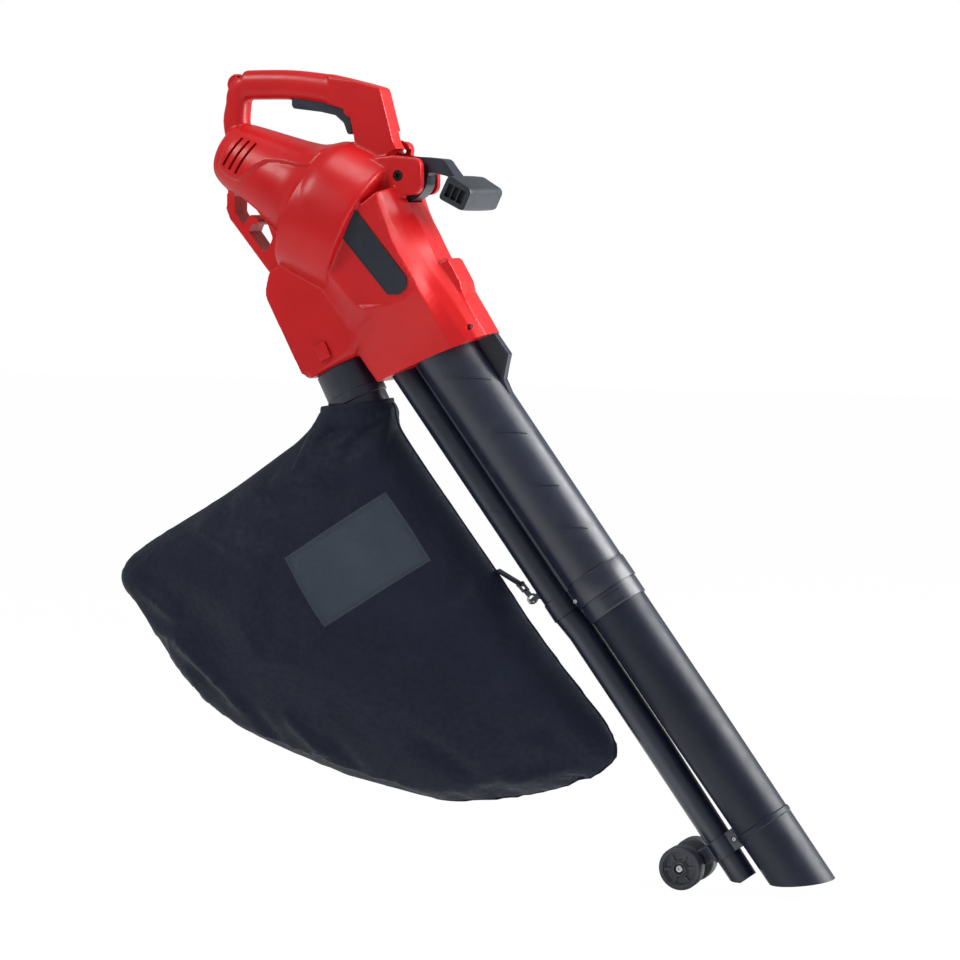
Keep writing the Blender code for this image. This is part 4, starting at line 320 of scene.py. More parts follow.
def shaped(target, tools, operation):
    """Join, cut or trim an object with others, which are used up."""
    group = bpy.data.collections.new("tools")
    scene.collection.children.link(group)
    for tool in tools:
        group.objects.link(tool)
        scene.collection.objects.unlink(tool)
    step = target.modifiers.new("shape", "BOOLEAN")
    step.operation, step.solver, step.operand_type, step.collection = operation, "EXACT", "COLLECTION", group
    settled(target)
    for tool in tools:
        bpy.data.objects.remove(tool)
    bpy.data.collections.remove(group)


def joined(target, place, *meshes):
    """Join meshes of one frame to an object."""
    shaped(target, [form("tool", bm, place) for bm in meshes], "UNION")


def cut(target, place, *meshes):
    """Cut meshes of one frame out of an object."""
    shaped(target, [form("tool", bm, place) for bm in meshes], "DIFFERENCE")


def settled(target):
    """Take what an object's modifiers make of it as its own mesh."""
    shown = target.evaluated_get(bpy.context.evaluated_depsgraph_get())
    mesh = bpy.data.meshes.new_from_object(shown)
    target.modifiers.clear()
    target.data = mesh


def even_skin(target, voxel):
    """Have an object remade with an even skin of small faces."""
    step = target.modifiers.new("skin", "REMESH")
    step.mode, step.voxel_size, step.use_smooth_shade = "VOXEL", voxel, True


def softened(target, voxel, rounds, keep):
    """Run an object's edges together as a mould does: a fine even skin, smoothed, then thinned again."""
    even_skin(target, voxel)
    step = target.modifiers.new("smooth", "SMOOTH")
    step.factor, step.iterations = 0.5, rounds
    target.modifiers.new("thin", "DECIMATE").ratio = keep
    settled(target)


def painted(target, material):
    """Give an object one finish alone."""
    target.data.materials.clear()
    target.data.materials.append(material)


def carried(piece, node, body="machine", angle=32.0):
    """Show a piece on a body, in place of a CAD node where one is named, with smooth shading broken where
    faces meet at more than the angle."""
    piece.data.shade_smooth()
    piece.data.set_sharp_from_angle(angle=radians(angle))
    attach(piece, body)
    if node:
        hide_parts(node)


def swept(path, sides):
    """An oval bar along (x, z, half_height, half_width) stations in the middle plane."""
    rings = []
    for i, (x, z, height, width) in enumerate(path):
        behind, ahead = path[max(i - 1, 0)], path[min(i + 1, len(path) - 1)]
        along = Vector((ahead[0] - behind[0], 0.0, ahead[1] - behind[1])).normalized()
        up = Vector((-along.z, 0.0, along.x))
        ring = []
        for t in around(sides):
            side = copysign(abs(sin(t)) ** 0.75, sin(t)) * width
            climb = copysign(abs(cos(t)) ** 0.75, cos(t)) * height
            ring.append(Vector((x, 0.0, z)) + up * climb + Vector((0.0, side, 0.0)))
        rings.append(ring)
    return skinned(rings)


def panel_y(along):
    """Half width of the flat side panel, which narrows towards the tube."""
    return 0.068 - 0.096 * (along + 0.12)


def side_plan(out, rows):
    """Rows of millimetres as metres, with None for a y on the flat panel, moved out by a distance."""
    return [[panel_y(row[0] / 1000.0) + out if size is None else size / 1000.0 for size in row] for row in rows]


def intake_skin(plan):
    """The intake body from the (v, y) corners of its side at each place along the tube."""
    rings = []
    for along, *values in plan:
        corners = list(zip(values[0::2], values[1::2]))
        rings.append([(along, -y, v) for v, y in corners] + [(along, y, v) for v, y in reversed(corners)])
    return skinned(rings)


casing = form("housing_body", turned([(x, r) for x, r in flowing(mm([(-194, 25), (-189, 36), (-178, 42.5), (-160, 47),
    (-95, 59), (-70, 65), (-56, 73), (-44, 82), (-34, 87), (-18, 89), (27, 89), (35.5, 86.5), (38, 80)]), 4)], 112),
    FAN)
CREST = 0.0035
intake_plan = side_plan(CREST, (
    (-190, 80, 22, 76, 50, 71, 68.72, 64, None, -45, None, -80, 40),
    (-130, 74.5, 24, 65, 46, 56, 61, 48, None, -42, None, -85, 36),
    (-86, 67.5, 26, 60, 42, 50, 57, 42, None, -36, None, -90, 33),
    (-55, 67, 27, 59, 38, 48, 48, 37, 62.76, -30, 57, -92, 29),
    (-10, 66, 25, 58, 36, 47, 44, 30, 50.5, -40, 42, -92.5, 26),
    (45, 63.5, 24, 56, 35, 44, 42, 26, 47.5, -40, 39, -91.5, 24)))
bend = []
for k in range(7):
    t = radians(180 - 15 * k)
    bend.append((-0.0735 + 0.019 * cos(t), -0.0235 + 0.0245 * sin(t), 0.015 + 0.004 * k / 6, 0.017))
bar = mm([(-92, -100, 15.5, 17), (-92.5, -72, 15.5, 17), (-95.5, -45, 16.5, 17)]) + bend + mm([(-20, 0.5, 19, 17),
    (20, -3.5, 19, 17), (58, -10.5, 20, 17), (88, -18.5, 20, 16)])
post = mm([(40, 13.5, 0), (90, 1.5, 30), (115.5, -5.5, 8), (134, -74, 10), (150, -100, 0), (140, -150, 0),
    (90, -140, 0), (79, -68, 10), (71.5, -34, 12), (40, -26, 0)])
ear = rounded(mm([(98, -154), (98, -95), (140.75, -91, 6), (179, -95, 12), (179, -140, 12), (148.4, -142, 4)]))
outlet = rounded(mm([(-30, -240, 10), (-37, -268, 30), (20.5, -379, 10), (88, -345), (112, -300), (66, -190),
    (10, -205)]))
loop = rounded(mm([(-104, -118), (-98.5, -143), (-104, -157, 6), (-98, -172, 14), (-40, -244), (10, -240),
    (-20, -170), (-80, -120)]))
band = rounded(mm([(-80, 50), (-80, 79.5, 4), (-43, 75.5, 4), (-31, 69), (45, 64.8), (45, 50)]))
motor_skin = mm([(-178, 42.5), (-160, 47), (-95, 59), (-70, 65), (-56, 73), (-40, 85)])


def motor_radius(x):
    """The radius of the motor's round casing at a place along it."""
    for (x0, r0), (x1, r1) in zip(motor_skin, motor_skin[1:]):
        if x <= x1:
            return r0 + (r1 - r0) * max(0.0, x - x0) / (x1 - x0)
    return motor_skin[-1][1]


rings = []
for x, reach in flowing([(-0.176, 112.0), (-0.16, 116.0), (-0.14, 112.0), (-0.128, 96.0), (-0.118, 76.0),
        (-0.108, 66.0), (-0.094, 61.0), (-0.076, 58.0), (-0.05, 56.0)], 3):
    outer, inner = [], []
    for k in range(49):
        turn = -reach + 2.0 * reach * k / 48
        lift = 0.0034 * min(1.0, max(0.0, (abs(turn) - 12.0) / 30.0)) ** 1.4
        lift = min(lift, 0.0004 + 0.0008 * (x + 0.178) * 1000.0)
        t = radians(turn)
        outer.append((x, (motor_radius(x) + lift) * sin(t), (motor_radius(x) + lift) * cos(t)))
        inner.append((x, (motor_radius(x) - 0.004) * sin(t), (motor_radius(x) - 0.004) * cos(t)))
    rings.append(outer + inner[::-1])
saddle = form("motor_saddle", skinned(rings), FAN)
scroll = form("fan_scroll", turned(flowing(mm([(-60, 64), (-53, 77), (-47, 85.5), (-39, 88.8), (29, 88.8),
    (35.5, 86.8), (37.5, 80)]), 3), 112, drop=0.014), FAN)
shaped(casing, [
    form("intake", intake_skin(flowing(intake_plan, 5)), TUBE),
    form("grip_bar", swept(flowing(bar, 3), 40), BODY),
    form("front_post", slab(rounded(post), -0.017, 0.017, 0.0065, 4), BODY),
    form("near_ear", slab(ear, -0.0325, -0.006, 0.002), BODY),
    form("far_ear", slab(ear, 0.006, 0.0325, 0.002), BODY),
    saddle,
    scroll,
    form("outlet", slab(outlet, -0.042, 0.042, 0.012, 4), BODY),
    form("guard_loop", slab(loop, -0.018, 0.018, 0.004), BODY),
    form("step_band", slab(band, -0.0235, 0.0235, 0.003), TUBE),
    form("strap_eye", cross_turned(mm([(18, 6.5), (18, 11.5), (33.5, 11.5), (33.5, 6.5)]), 48, centre=STRAP_EYE),
         BODY),
    form("lever_boss", cross_turned(mm([(15, 15), (43.5, 15)]), 48, centre=FLAP_PIN), BODY),
], "UNION")
fields = []
for side in (-1, 1):
    floor_line = rounded(mm([(-230, 90), (-176, 60), (-117, 39.5, 10), (-66, 37.5, 8), (-62, 6, 14), (-96, -45, 20),
        (-158, -52), (-230, -60)]))
    middle = sum(floor_line, Vector((0.0, 0.0))) / len(floor_line)
    rings = []
    for lift, spread in ((0.0, 0.0), (CREST + 0.001, 0.006), (0.03, 0.008)):
        ring = []
        for p in floor_line:
            q = p + (p - middle).normalized() * spread
            ring.append((q.x, side * (panel_y(q.x) + lift), q.y))
        rings.append(ring)
    fields.append(form("badge_field", skinned(rings), TUBE))
    cut(fields[-1], FAN, turned([(-0.3, 0.3), (0.036, 0.3)], 12))
shaped(casing, fields, "DIFFERENCE")
softened(casing, *(((0.0015, 6, 0.24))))

spaces = []


def hollow(bm, place):
    """Keep a space that is cut from the housing once it is softened."""
    spaces.append(form("space", bm, place))


# the motor, the room behind the fan, the fan with its shaft, the intake with the fan's eye
hollow(turned(mm([(-172, 33.5), (-130.3, 33.5), (-130.3, 34.8), (-66, 34.8)]), 48), FAN)
hollow(turned(mm([(-62, 14), (-62, 61), (-29, 73), (-29, 14)]), 48, closed=True), FAN)
hollow(turned(mm([(-68, 7.5), (-24, 7.5), (-24, 81), (26, 81)]), 64), FAN)
inner_plan = side_plan(-0.004, (
    (-186, 75.5, 18, 62, 50, 20, None, -30, None, -34, 40),
    (-130, 70, 20, 42, 55, 28, None, -32, None, -37, 36),
    (-86, 63, 22, 38, 51, 26, None, -30, None, -37, 33),
    (-52, 62, 22, 38, 46, 20, 49, -28, 46, -37, 29)))
intake_hollow = form("space", intake_skin(inner_plan), TUBE)
cut(intake_hollow, FAN, block((-0.3, -0.2, -0.3), (0.032, 0.2, 0.3)))
spaces.append(intake_hollow)
hollow(turned(mm([(22, 40), (36, 40)]), 64), FAN)
# the sockets of both tubes with the ways into them, and of the web between them
hollow(turned(mm([(-60, 39.8), (-43, 39.8)]), 96), TUBE)
hollow(turned(mm([(-45, 42.3), (60, 42.3)]), 96), TUBE)
hollow(turned(mm([(-45, 18.3), (60, 18.3)]), 64, drop=DUCT_DROP), TUBE)
hollow(turned(mm([(-78, 15.8), (-43, 15.8)]), 64, drop=DUCT_DROP), TUBE)
hollow(block((-0.045, -0.0063, -0.062), (0.06, 0.0063, -0.03)), TUBE)
# the outlet past the flap, the neck's socket, the see-through loop
hollow(slab(mm([(12, -222), (-10, -262), (18, -322), (34, -338), (64, -324), (74, -324), (79.7, -323.6),
    (103.1, -310.1), (108, -297), (52, -246), (40, -222)]), -0.028, 0.028), BODY)
hollow(turned(mm([(-42, 32.8), (-18.3, 32.8), (-18.3, 35.3), (40, 35.3)]), 96), SPOUT)
hollow(slab(rounded(mm([(-90, -142, 4), (-91, -162, 8), (-78, -180), (-73.5, -172.5, 2), (-66.5, -165.5, 3),
    (-56, -173.5, 3), (-59, -180, 2), (-65, -176.5, 2), (-70, -188, 2), (-46, -219, 6), (-36, -196, 6), (-50, -160),
    (-85, -135)])), -0.036, 0.036), BODY)


def collar(height, gap=0.0):
    """How far down the tube the collar's slanted end is at a height, and a gap past it."""
    return 0.014 + 0.2415 * height + gap


# all that is past the slanted collar, and the vents
hollow(slab([(collar(0.12), 0.12), (0.2, 0.12), (0.2, -0.13), (collar(-0.13), -0.13)], -0.1, 0.1), TUBE)
for side in (-1, 1):
    for k in range(3):
        rings = []
        for step in range(15):
            t = radians(52.0 + 52.0 * step / 14)
            lean = 0.0035 * (1.0 - 2.0 * step / 14)
            rings.append([(-0.164 + 0.011 * k + lean + x, side * r * sin(t), r * cos(t)) for x, r in ((-0.0019, 0.03),
                (0.0019, 0.03), (0.0019, 0.062), (-0.0019, 0.062))])
        hollow(skinned(rings), FAN)
# in the handle: the switch, the speed board, the capacitor, the trigger on its pin, the dial on its axle
hollow(block((-0.0103, -0.0088, -0.0065), (0.0223, 0.0088, 0.0113)), BODY)
hollow(block((-0.0743, -0.0103, -0.0063), (-0.0517, 0.0103, -0.0032)), BODY)
hollow(turned(mm([(-46.3, 5.8), (-17.7, 5.8)]), 24, drop=-0.0025), BODY)
hollow(slab(mm([(-14.5, -50), (-14.5, -6.6), (30, -10), (60, -16), (70, -21), (74.5, -45), (74.5, -75), (50, -75)]),
    -0.0095, 0.0095), BODY)
hollow(cross_turned(mm([(-12.5, 2.3), (12.5, 2.3)]), 24, centre=TRIGGER_PIN), BODY)
hollow(cross_turned(mm([(-6.5, 14.5), (6.5, 14.5)]), 48, centre=DIAL), BODY)
hollow(cross_turned(mm([(-10.5, 3.3), (10.5, 3.3)]), 24, centre=DIAL), BODY)
# the mains inlet, the front handle's hub and its screw, the strap, the flap's pin, the housing screws
hollow(block((-0.204, -0.0128, -0.0078), (-0.1807, 0.0128, 0.0078)), FAN)
hollow(cross_turned(mm([(-21.5, 35), (21.5, 35)]), 96), PIVOT)
hollow(cross_turned(mm([(-42.5, 6.8), (-27.5, 6.8), (-27.5, 4.3), (27.5, 4.3), (27.5, 6.8), (42.5, 6.8)]), 40), PIVOT)
hollow(cross_turned(mm([(10, 4.5), (40, 4.5)]), 40, centre=STRAP_EYE), BODY)
hollow(block((0.119, 0.009, -0.0905), (0.151, 0.018, -0.06)), BODY)
hollow(cross_turned(mm([(-34, 4.3), (52, 4.3)]), 32, centre=FLAP_PIN), BODY)
for place, x, z, face in ((BODY, -0.0955, -0.056, 0.017), (BODY, 0.102, -0.048, 0.017), (BODY, -0.014, -0.274, 0.042),
        (TUBE, -0.015, 0.055, 0.028)):
    hollow(cross_turned([(-0.0105, 0.0021), (face - 0.006, 0.0021), (face - 0.006, 0.0037), (face + 0.02, 0.0037)],
        24, centre=(x, z)), place)
hollow(cross_turned(mm([(-60, 3.7), (-27.5, 3.7), (-27.5, 2.1), (-18.5, 2.1)]), 24, centre=(0.0115, 0.0566)), TUBE)
shaped(casing, spaces, "DIFFERENCE")
for name, low, high in (("housing_left", -0.12, -0.00015), ("housing_right", 0.00015, 0.12)):
    half = form(name + "_shell", block((-0.6, low, -0.6), (0.6, high, 0.6)), BODY, RED)
    step = half.modifiers.new("body", "BOOLEAN")
    step.operation, step.solver, step.object = "INTERSECT", "EXACT", casing
    settled(half)
    painted(half, RED)
    for face in half.data.polygons:
        face.material_index = 0
    carried(half, name)
bpy.data.objects.remove(casing)


# The badge on the near side panel: a dark moulded plate with a fine raised rim, left bare, pressed into its
# field in the housing.
DARK = plastic("dark_gloss_plastic", (0.0075, 0.0105, 0.019), (0.013, 0.017, 0.028), (0.05, 0.055, 0.065), 900.0,
    0.22, 0.34, bump=0.04, specular_ior_level=0.4, coat_weight=0.2, coat_roughness=0.12)


def inset(outline, distance):
    """An outline drawn in by a distance, corner by corner."""
    made = []
    for i, here in enumerate(outline):
        ahead = (outline[(i + 1) % len(outline)] - here).normalized()
        behind = (here - outline[i - 1]).normalized()
        lean = (ahead + behind).normalized()
        inward = Vector((lean.y, -lean.x)) if CLOCKWISE else Vector((-lean.y, lean.x))
        made.append(here + inward * distance / max(0.5, lean.dot(ahead)))
    return made


badge_line = rounded(mm([(-193.5, 27, 2), (-179.5, -4, 4), (-80, 1, 4), (-70.5, 14, 6), (-71, 27, 6),
    (-81.5, 35.5, 5), (-186, 33.5, 2)]), 5)
turn_sum = sum(a.x * b.y - b.x * a.y for a, b in zip(badge_line, badge_line[1:] + badge_line[:1]))
CLOCKWISE = turn_sum < 0.0
rings = []
for distance, lift in ((0.0, 0.0003), (0.0, 0.0014), (0.0004, 0.0019), (0.0017, 0.0019), (0.0021, 0.0014)):
    rings.append([(q.x, -panel_y(q.x) - lift, q.y) for q in inset(badge_line, distance)])
badge = form("badge_face", skinned(rings), TUBE, DARK)
carried(badge, "badge_plate", angle=30)

# What sits in the handle: a black trigger bar on its pin, and the ribbed thumb wheel that sets the speed.
# Both are injection-moulded, and their edges are broken by a fraction of a millimetre.
BLACK = plastic("black_satin_plastic", (0.0042, 0.0068, 0.019), (0.007, 0.0108, 0.027), (0.045, 0.052, 0.066), 1100.0,
    0.3, 0.42, bump=0.1, specular_ior_level=0.72)
lever = form("trigger_bar", slab(rounded(mm([(52, -41.5, 2), (94, -43.5), (122, -47, 4), (132, -51, 3),
    (133.8, -70.5, 4), (137, -90, 2), (131.2, -91.5, 2), (125.5, -76.5, 6), (114, -67, 8), (94, -60.5),
    (52, -57.5, 4)])), -0.0085, 0.0085, 0.0022, 4), axis(-TRIGGER_PIN[0], -TRIGGER_PIN[1], 0.0), BLACK)
cut(lever, BODY, cross_turned(mm([(-20, 2.3), (20, 2.3)]), 24, centre=TRIGGER_PIN))
carried(lever, "trigger", "trigger_lever")

rings = []
for y, radius in ((-0.0102, 0.003), (-0.006, 0.003), (-0.006, 0.012), (-0.0045, 0.0135), (0.0045, 0.0135),
        (0.006, 0.012), (0.006, 0.003), (0.0102, 0.003)):
    ring = []
    for k in range(168):
        t = 2.0 * pi * k / 168
        wave = 0.0007 * max(0.0, cos(28 * t)) if radius > 0.01 else 0.0
        ring.append((DIAL[0] + (radius - wave) * cos(t), y, DIAL[1] + (radius - wave) * sin(t)))
    rings.append(ring)
carried(form("speed_wheel_ribbed", skinned(rings), BODY, RED), "speed_dial", "speed_wheel")

# The front handle: a black arm with a friction hub between the ears, and a crosswise grip of a softer,
# greyer moulding that is cored out with open pockets at both ends.
GRIP = plastic("soft_grey_grip", (0.012, 0.0165, 0.023), (0.019, 0.025, 0.034), (0.06, 0.07, 0.08), 1500.0, 0.36, 0.5,
    bump=0.18)
tilt_s, tilt_c = sin(radians(26)), cos(radians(26))
gx, gz = 0.232 - PIVOT_X, -0.1365 - PIVOT_Z
rear_x, rear_z = gx - 0.018 * tilt_c, gz + 0.018 * tilt_s
outline = [(0.0335 * cos(radians(195 + 147 * k / 40)), 0.0335 * sin(radians(195 + 147 * k / 40))) for k in range(41)]
outline += rounded([(0.0312, 0.0, 0), (0.036, 0.0045, 0.006), (gx - 0.024, -0.001, 0.004),
    (rear_x - 0.0005, rear_z - 0.004, 0), (rear_x + 0.006, rear_z + 0.008, 0), (gx - 0.03, 0.0205, 0.01),
    (0.024, 0.0235, 0.01), (0.0, 0.0235, 0.01), (-0.0235, 0.012, 0)])
arm = form("front_arm", slab(outline, -0.014, 0.014, 0.0025, 4), PIVOT, BLACK)
joined(arm, PIVOT, cross_turned(mm([(-20, 19.5), (-19.3, 21.5), (19.3, 21.5), (20, 19.5)]), 96))
cut(arm, PIVOT, cross_turned(mm([(-50, 4.5), (50, 4.5)]), 40))
carried(arm, "front_handle_arm", "front_handle")

gx, gz = gx + 0.002, gz - 0.003
section = rounded(mm([(-18, -14.8, 5), (20, -15.2, 6), (19.5, 14.5, 8), (-18, 18, 6)]), 8)
rings = []
for y, scale in flowing([(-0.5, 0.94), (-0.485, 1.0), (-0.25, 1.04), (0.0, 1.05), (0.25, 1.04), (0.485, 1.0),
        (0.5, 0.94)], 5):
    rings.append([(gx + p.x * scale * tilt_c + p.y * scale * tilt_s, y * 0.104, gz - p.x * scale * tilt_s
        + p.y * scale * tilt_c) for p in section])
grip = form("front_grip", skinned(rings), PIVOT, GRIP)
cuts = [slab([(gx - 0.06, gz - 0.06), (rear_x + 0.004, rear_z - 0.022), (rear_x + 0.0066, rear_z + 0.008),
    (gx - 0.02, gz + 0.06), (gx - 0.06, gz + 0.06)], -0.0143, 0.0143)]
for side in (-1, 1):
    for k in (-1, 0, 1):
        width = (0.036 * 0.9 - 0.0098) / 3.0
        corners = []
        for u, w in ((-0.5, -1), (0.5, -1), (0.5, 1), (-0.5, 1)):
            a, b = k * (width + 0.0014) + u * width, w * (0.0135 * 0.9 - 0.0035)
            corners.append((gx + a * tilt_c + b * tilt_s, gz - a * tilt_s + b * tilt_c))
        cuts.append(slab(corners, *sorted((side * 0.045, side * 0.062))))
cut(grip, PIVOT, *cuts)
carried(grip, "front_handle_grip", "front_handle")

# The double tube: a suction tube and a slim blow duct side by side in one black moulding, with a stiffening
# fin under the collar and short witness lines of the mould. The lower tube is plugged into its end sleeve,
# and both lower pieces grow slimmer towards the mouth.
tube = form("upper_double_tube", turned(mm([(-44.7, 42), (348.5, 40), (348.8, 39.3), (350, 39.3), (350.3, 41.1),
    (351.3, 41.4), (378.7, 41.4), (379.7, 41.1), (380, 39), (381.2, 39), (381.5, 39.8), (403, 39.8), (404, 39.3)]),
    128), TUBE, BLACK)


def witness(stations, radius, offset=0.0, lift=0.0011, width=0.0011):
    """A fine raised line on a round tube, from (place, angle) stations counted from the near side up."""
    rings = []
    for along, turn in flowing(stations, 8):
        t, rim = radians(turn), radius(along)
        rings.append([(along + w, -r * cos(t), r * sin(t) - offset) for w, r in ((-width, rim - 0.001),
            (-width, rim + lift), (width, rim + lift), (width, rim - 0.001))])
    return skinned(rings)


def upper_radius(along):
    """The upper suction tube's radius at a place along it."""
    return 0.042 - 0.002 * (along + 0.0447) / 0.3947


ribs = [
    turned(mm([(-44.7, 18), (348, 18), (349, 19.2), (374, 19.2)]), 80, drop=DUCT_DROP),
    block((-0.0447, -0.006, -0.054), (0.372, 0.006, -0.032)),
    slab([(collar(0.038, 0.0003), 0.038), (collar(0.0695, 0.0003), 0.0695), (0.064, 0.0695), (0.085, 0.044),
          (0.09, 0.038)], -0.0018, 0.0018),
    slab([(collar(0.0665, 0.0003), 0.0665), (collar(0.0695, 0.0003), 0.0695), (0.064, 0.0695), (0.085, 0.0445),
          (0.105, 0.0417), (0.105, 0.038), (0.083, 0.04), (0.0625, 0.0665)], -0.0065, 0.0065, 0.0007, 2),
]
for stations in (((0.044, -10), (0.078, 60)), ((0.1355, 8), (0.16, 60)), ((0.2205, 18), (0.238, 55)),
        ((0.2845, 18), (0.302, 55))):
    ribs.append(witness(stations, upper_radius))
for stations in (((0.066, -10), (0.075, 30)), ((0.148, -10), (0.157, 30)), ((0.211, -10), (0.22, 30))):
    ribs.append(witness(stations, lambda along: 0.018, DUCT_DROP))
staple = form("staple", slab(rounded(mm([(326.5, -72), (330.5, -83), (330.5, -92, 1.5), (334.5, -92, 1.5),
    (334.5, -83), (341.5, -72)])), -0.0085, 0.0085, 0.0006, 2), TUBE)
cut(staple, TUBE, block((0.3125, -0.0055, -0.088), (0.3525, 0.0055, -0.079)))
shaped(tube, [form("rib", bm, TUBE) for bm in ribs] + [staple], "UNION")
cut(tube, TUBE, turned(mm([(-54.7, 39.8), (-44.7, 39.8), (342, 37.8), (422, 37.8)]), 128),
    turned(mm([(-54.7, 15.8), (392, 15.8)]), 80, drop=DUCT_DROP),
    cross_turned(mm([(-60, 3.7), (-23.4, 3.7)]), 24, centre=(0.368, -0.034)),
    *(witness([(s, 2), (s, 40)], lambda along: 0.0398, lift=0.002, width=0.0006) for s in (0.3865, 0.399)))
carried(tube, "upper_tube", angle=24)


def lower_radius(along):
    """The lower suction tube's outer radius at a place along it."""
    return 0.0375 - 0.0015 * (along - 0.372) - 0.0067 * max(0.0, along - 0.572)


def lower_duct(along):
    """The slim duct's radius and its distance below the suction tube's axis."""
    return 0.0178 - 0.008 * max(0.0, along - 0.572), 0.0593 + 0.013 * max(0.0, along - 0.572)


lower = form("lower_suction_tube", turned(mm([(343, 37.5), (372, 37.5)]) + [(s, lower_radius(s) + more) for s,
    more in ((0.572, 0.0), (0.7205, 0.0), (0.722, 0.0017), (0.7275, 0.0017), (0.729, 0.0007), (0.859, 0.0007))], 128),
    TUBE, BLACK)
cut(lower, TUBE,
    turned([(0.323, 0.0353), (0.372, 0.0353), *((s, lower_radius(s) - 0.0022) for s in (0.572, 0.909))], 128),
    slab(mm([(842, 60), (1009, 60), (1009, -60), (776, -60)]), -0.06, 0.06))
# The lower tube gets a darker, less glossy copy of the tube's black plastic: painted shade, because the lower tube
# looks darker under the lamps than the upper one.
painted(lower, plastic("black_plastic_painted_shade", (0.004, 0.006, 0.015), (0.0062, 0.009, 0.02), (0.03, 0.036, 0.046),
    1100.0, 0.36, 0.5, bump=0.1, specular_ior_level=0.3))
carried(lower, "lower_tube", angle=24)

end_radius, end_drop = lower_duct(0.77)
duct = form("lower_blow_duct", turned([(0.35, 0.0155, 0.062), (0.3745, 0.0155, 0.062), (0.3745, 0.0178, 0.062),
    (0.402, 0.0178, 0.0593), (0.572, 0.0178, 0.0593), (0.77, end_radius, end_drop)], 80), TUBE, BLACK)
cut(duct, TUBE, turned(mm([(340, 13.7, 62), (375.5, 13.7, 62), (402, 13.7, 59.3), (572, 13.7, 59.3),
    (780, 13.64, 62)]), 80), slab([(0.758, -end_drop - 0.019), (0.771, -end_drop), (0.79, -end_drop),
    (0.79, -end_drop - 0.019)], -0.03, 0.03))
carried(duct, "blow_duct", angle=24)

# The wheels: two small moulded discs with sunk hubs and a pressed wedge pattern, on a steel axle. A clamp
# carries it: a sleeve round the duct, a lug screwed to the suction tube, and an arm below.
AXLE_ALONG, AXLE_DROP = 0.714, 0.1125
AXLE = axis(TUBE_X + AXLE_ALONG * cos(TUBE_TILT) - AXLE_DROP * sin(TUBE_TILT),
    TUBE_Z - AXLE_ALONG * sin(TUBE_TILT) - AXLE_DROP * cos(TUBE_TILT), TUBE_TILT)
WHEEL = plastic("grey_wheel_plastic", (0.022, 0.026, 0.035), (0.034, 0.04, 0.05), (0.08, 0.085, 0.09), 1300.0, 0.42,
    0.58, bump=0.2)
for side, word in ((-1, "left"), (1, "right")):
    middle = side * 0.027
    profile = mm([(11, 6.8), (11, 8.4), (10.4, 9), (8.5, 9.6), (8.5, 20.5), (10.5, 21.3), (11, 22), (11, 24.5),
        (10, 26.4), (8, 27.2), (-8, 27.2), (-10, 26.4), (-11, 24.7), (-11, 3.4), (7.3, 3.4), (7.3, 6.8)])
    wheel = form("wheel_tyre_" + word, cross_turned([(middle + side * y, r) for y, r in profile], 96, closed=True),
        AXLE, WHEEL)
    wedges = []
    for k in range(6):
        rings = []
        for step in range(7):
            t = radians(60 * k + 7 + 46 * step / 6)
            rings.append([(r * cos(t), middle + side * y, r * sin(t)) for y, r in ((0.0065, 0.011), (0.0065, 0.0192),
                (0.012, 0.0192), (0.012, 0.011))])
        wedges.append(skinned(rings))
    cut(wheel, AXLE, *wedges)
    carried(wheel, "wheel_" + word, word + "_wheel")

clamp = form("wheel_clamp", turned([(s, lower_duct(s)[0] + extra, lower_duct(s)[1]) for s, extra in ((0.708, 0.0016),
    (0.709, 0.0026), (0.733, 0.0026), (0.734, 0.0016))], 80), TUBE, BLACK)
joined(clamp, TUBE,
       slab(mm([(708, -30), (708, -60), (734, -60), (734, -30)]), -0.0125, 0.0125, 0.001),
       slab(rounded(mm([(710, -70), (705.5, -110.5, 4), (708, -121, 5), (721, -121, 5),
                     (731.5, -70)])), -0.0155, 0.0155, 0.0012))
cut(clamp, TUBE,
    turned(mm([(664, 37), (720, 36.3), (721.5, 37.9), (728, 37.9), (729.5, 37),
            (764, 37)]), 128),
    turned([(s, lower_duct(s)[0] + 0.0003, lower_duct(s)[1]) for s in (0.664, 0.764)], 80),
    cross_turned(mm([(-50, 3.3), (50, 3.3)]), 32, centre=(AXLE_ALONG, -AXLE_DROP)),
    cross_turned(mm([(-50, 3.7), (-9.5, 3.7), (-9.5, 2.1), (-2.5, 2.1)]), 24,
                 centre=(0.721, -0.04)))
carried(clamp, "wheel_bracket")

# The outlet neck on which the bag is tied: a short black moulded ring with a stop bead under the housing,
# and the red spring tab that lets it go.
neck = form("bag_neck", turned(mm([(-18, 33.2), (-18, 35), (0.6, 35), (1.4, 37.4), (36, 37.7), (37, 38.9), (48, 38.9),
    (49, 36.8), (68, 36.8), (68, 33.2)]), 112, closed=True), SPOUT, BLACK)
carried(neck, "bag_spout")
tab = form("latch_tab", slab(rounded(mm([(-34, 10, 2), (-12, 10, 2), (-12, -8, 2), (-34, -8, 2)])), -0.046, -0.0423,
    0.0012, 3), SPOUT, RED)
carried(tab, "bag_latch", "latch")

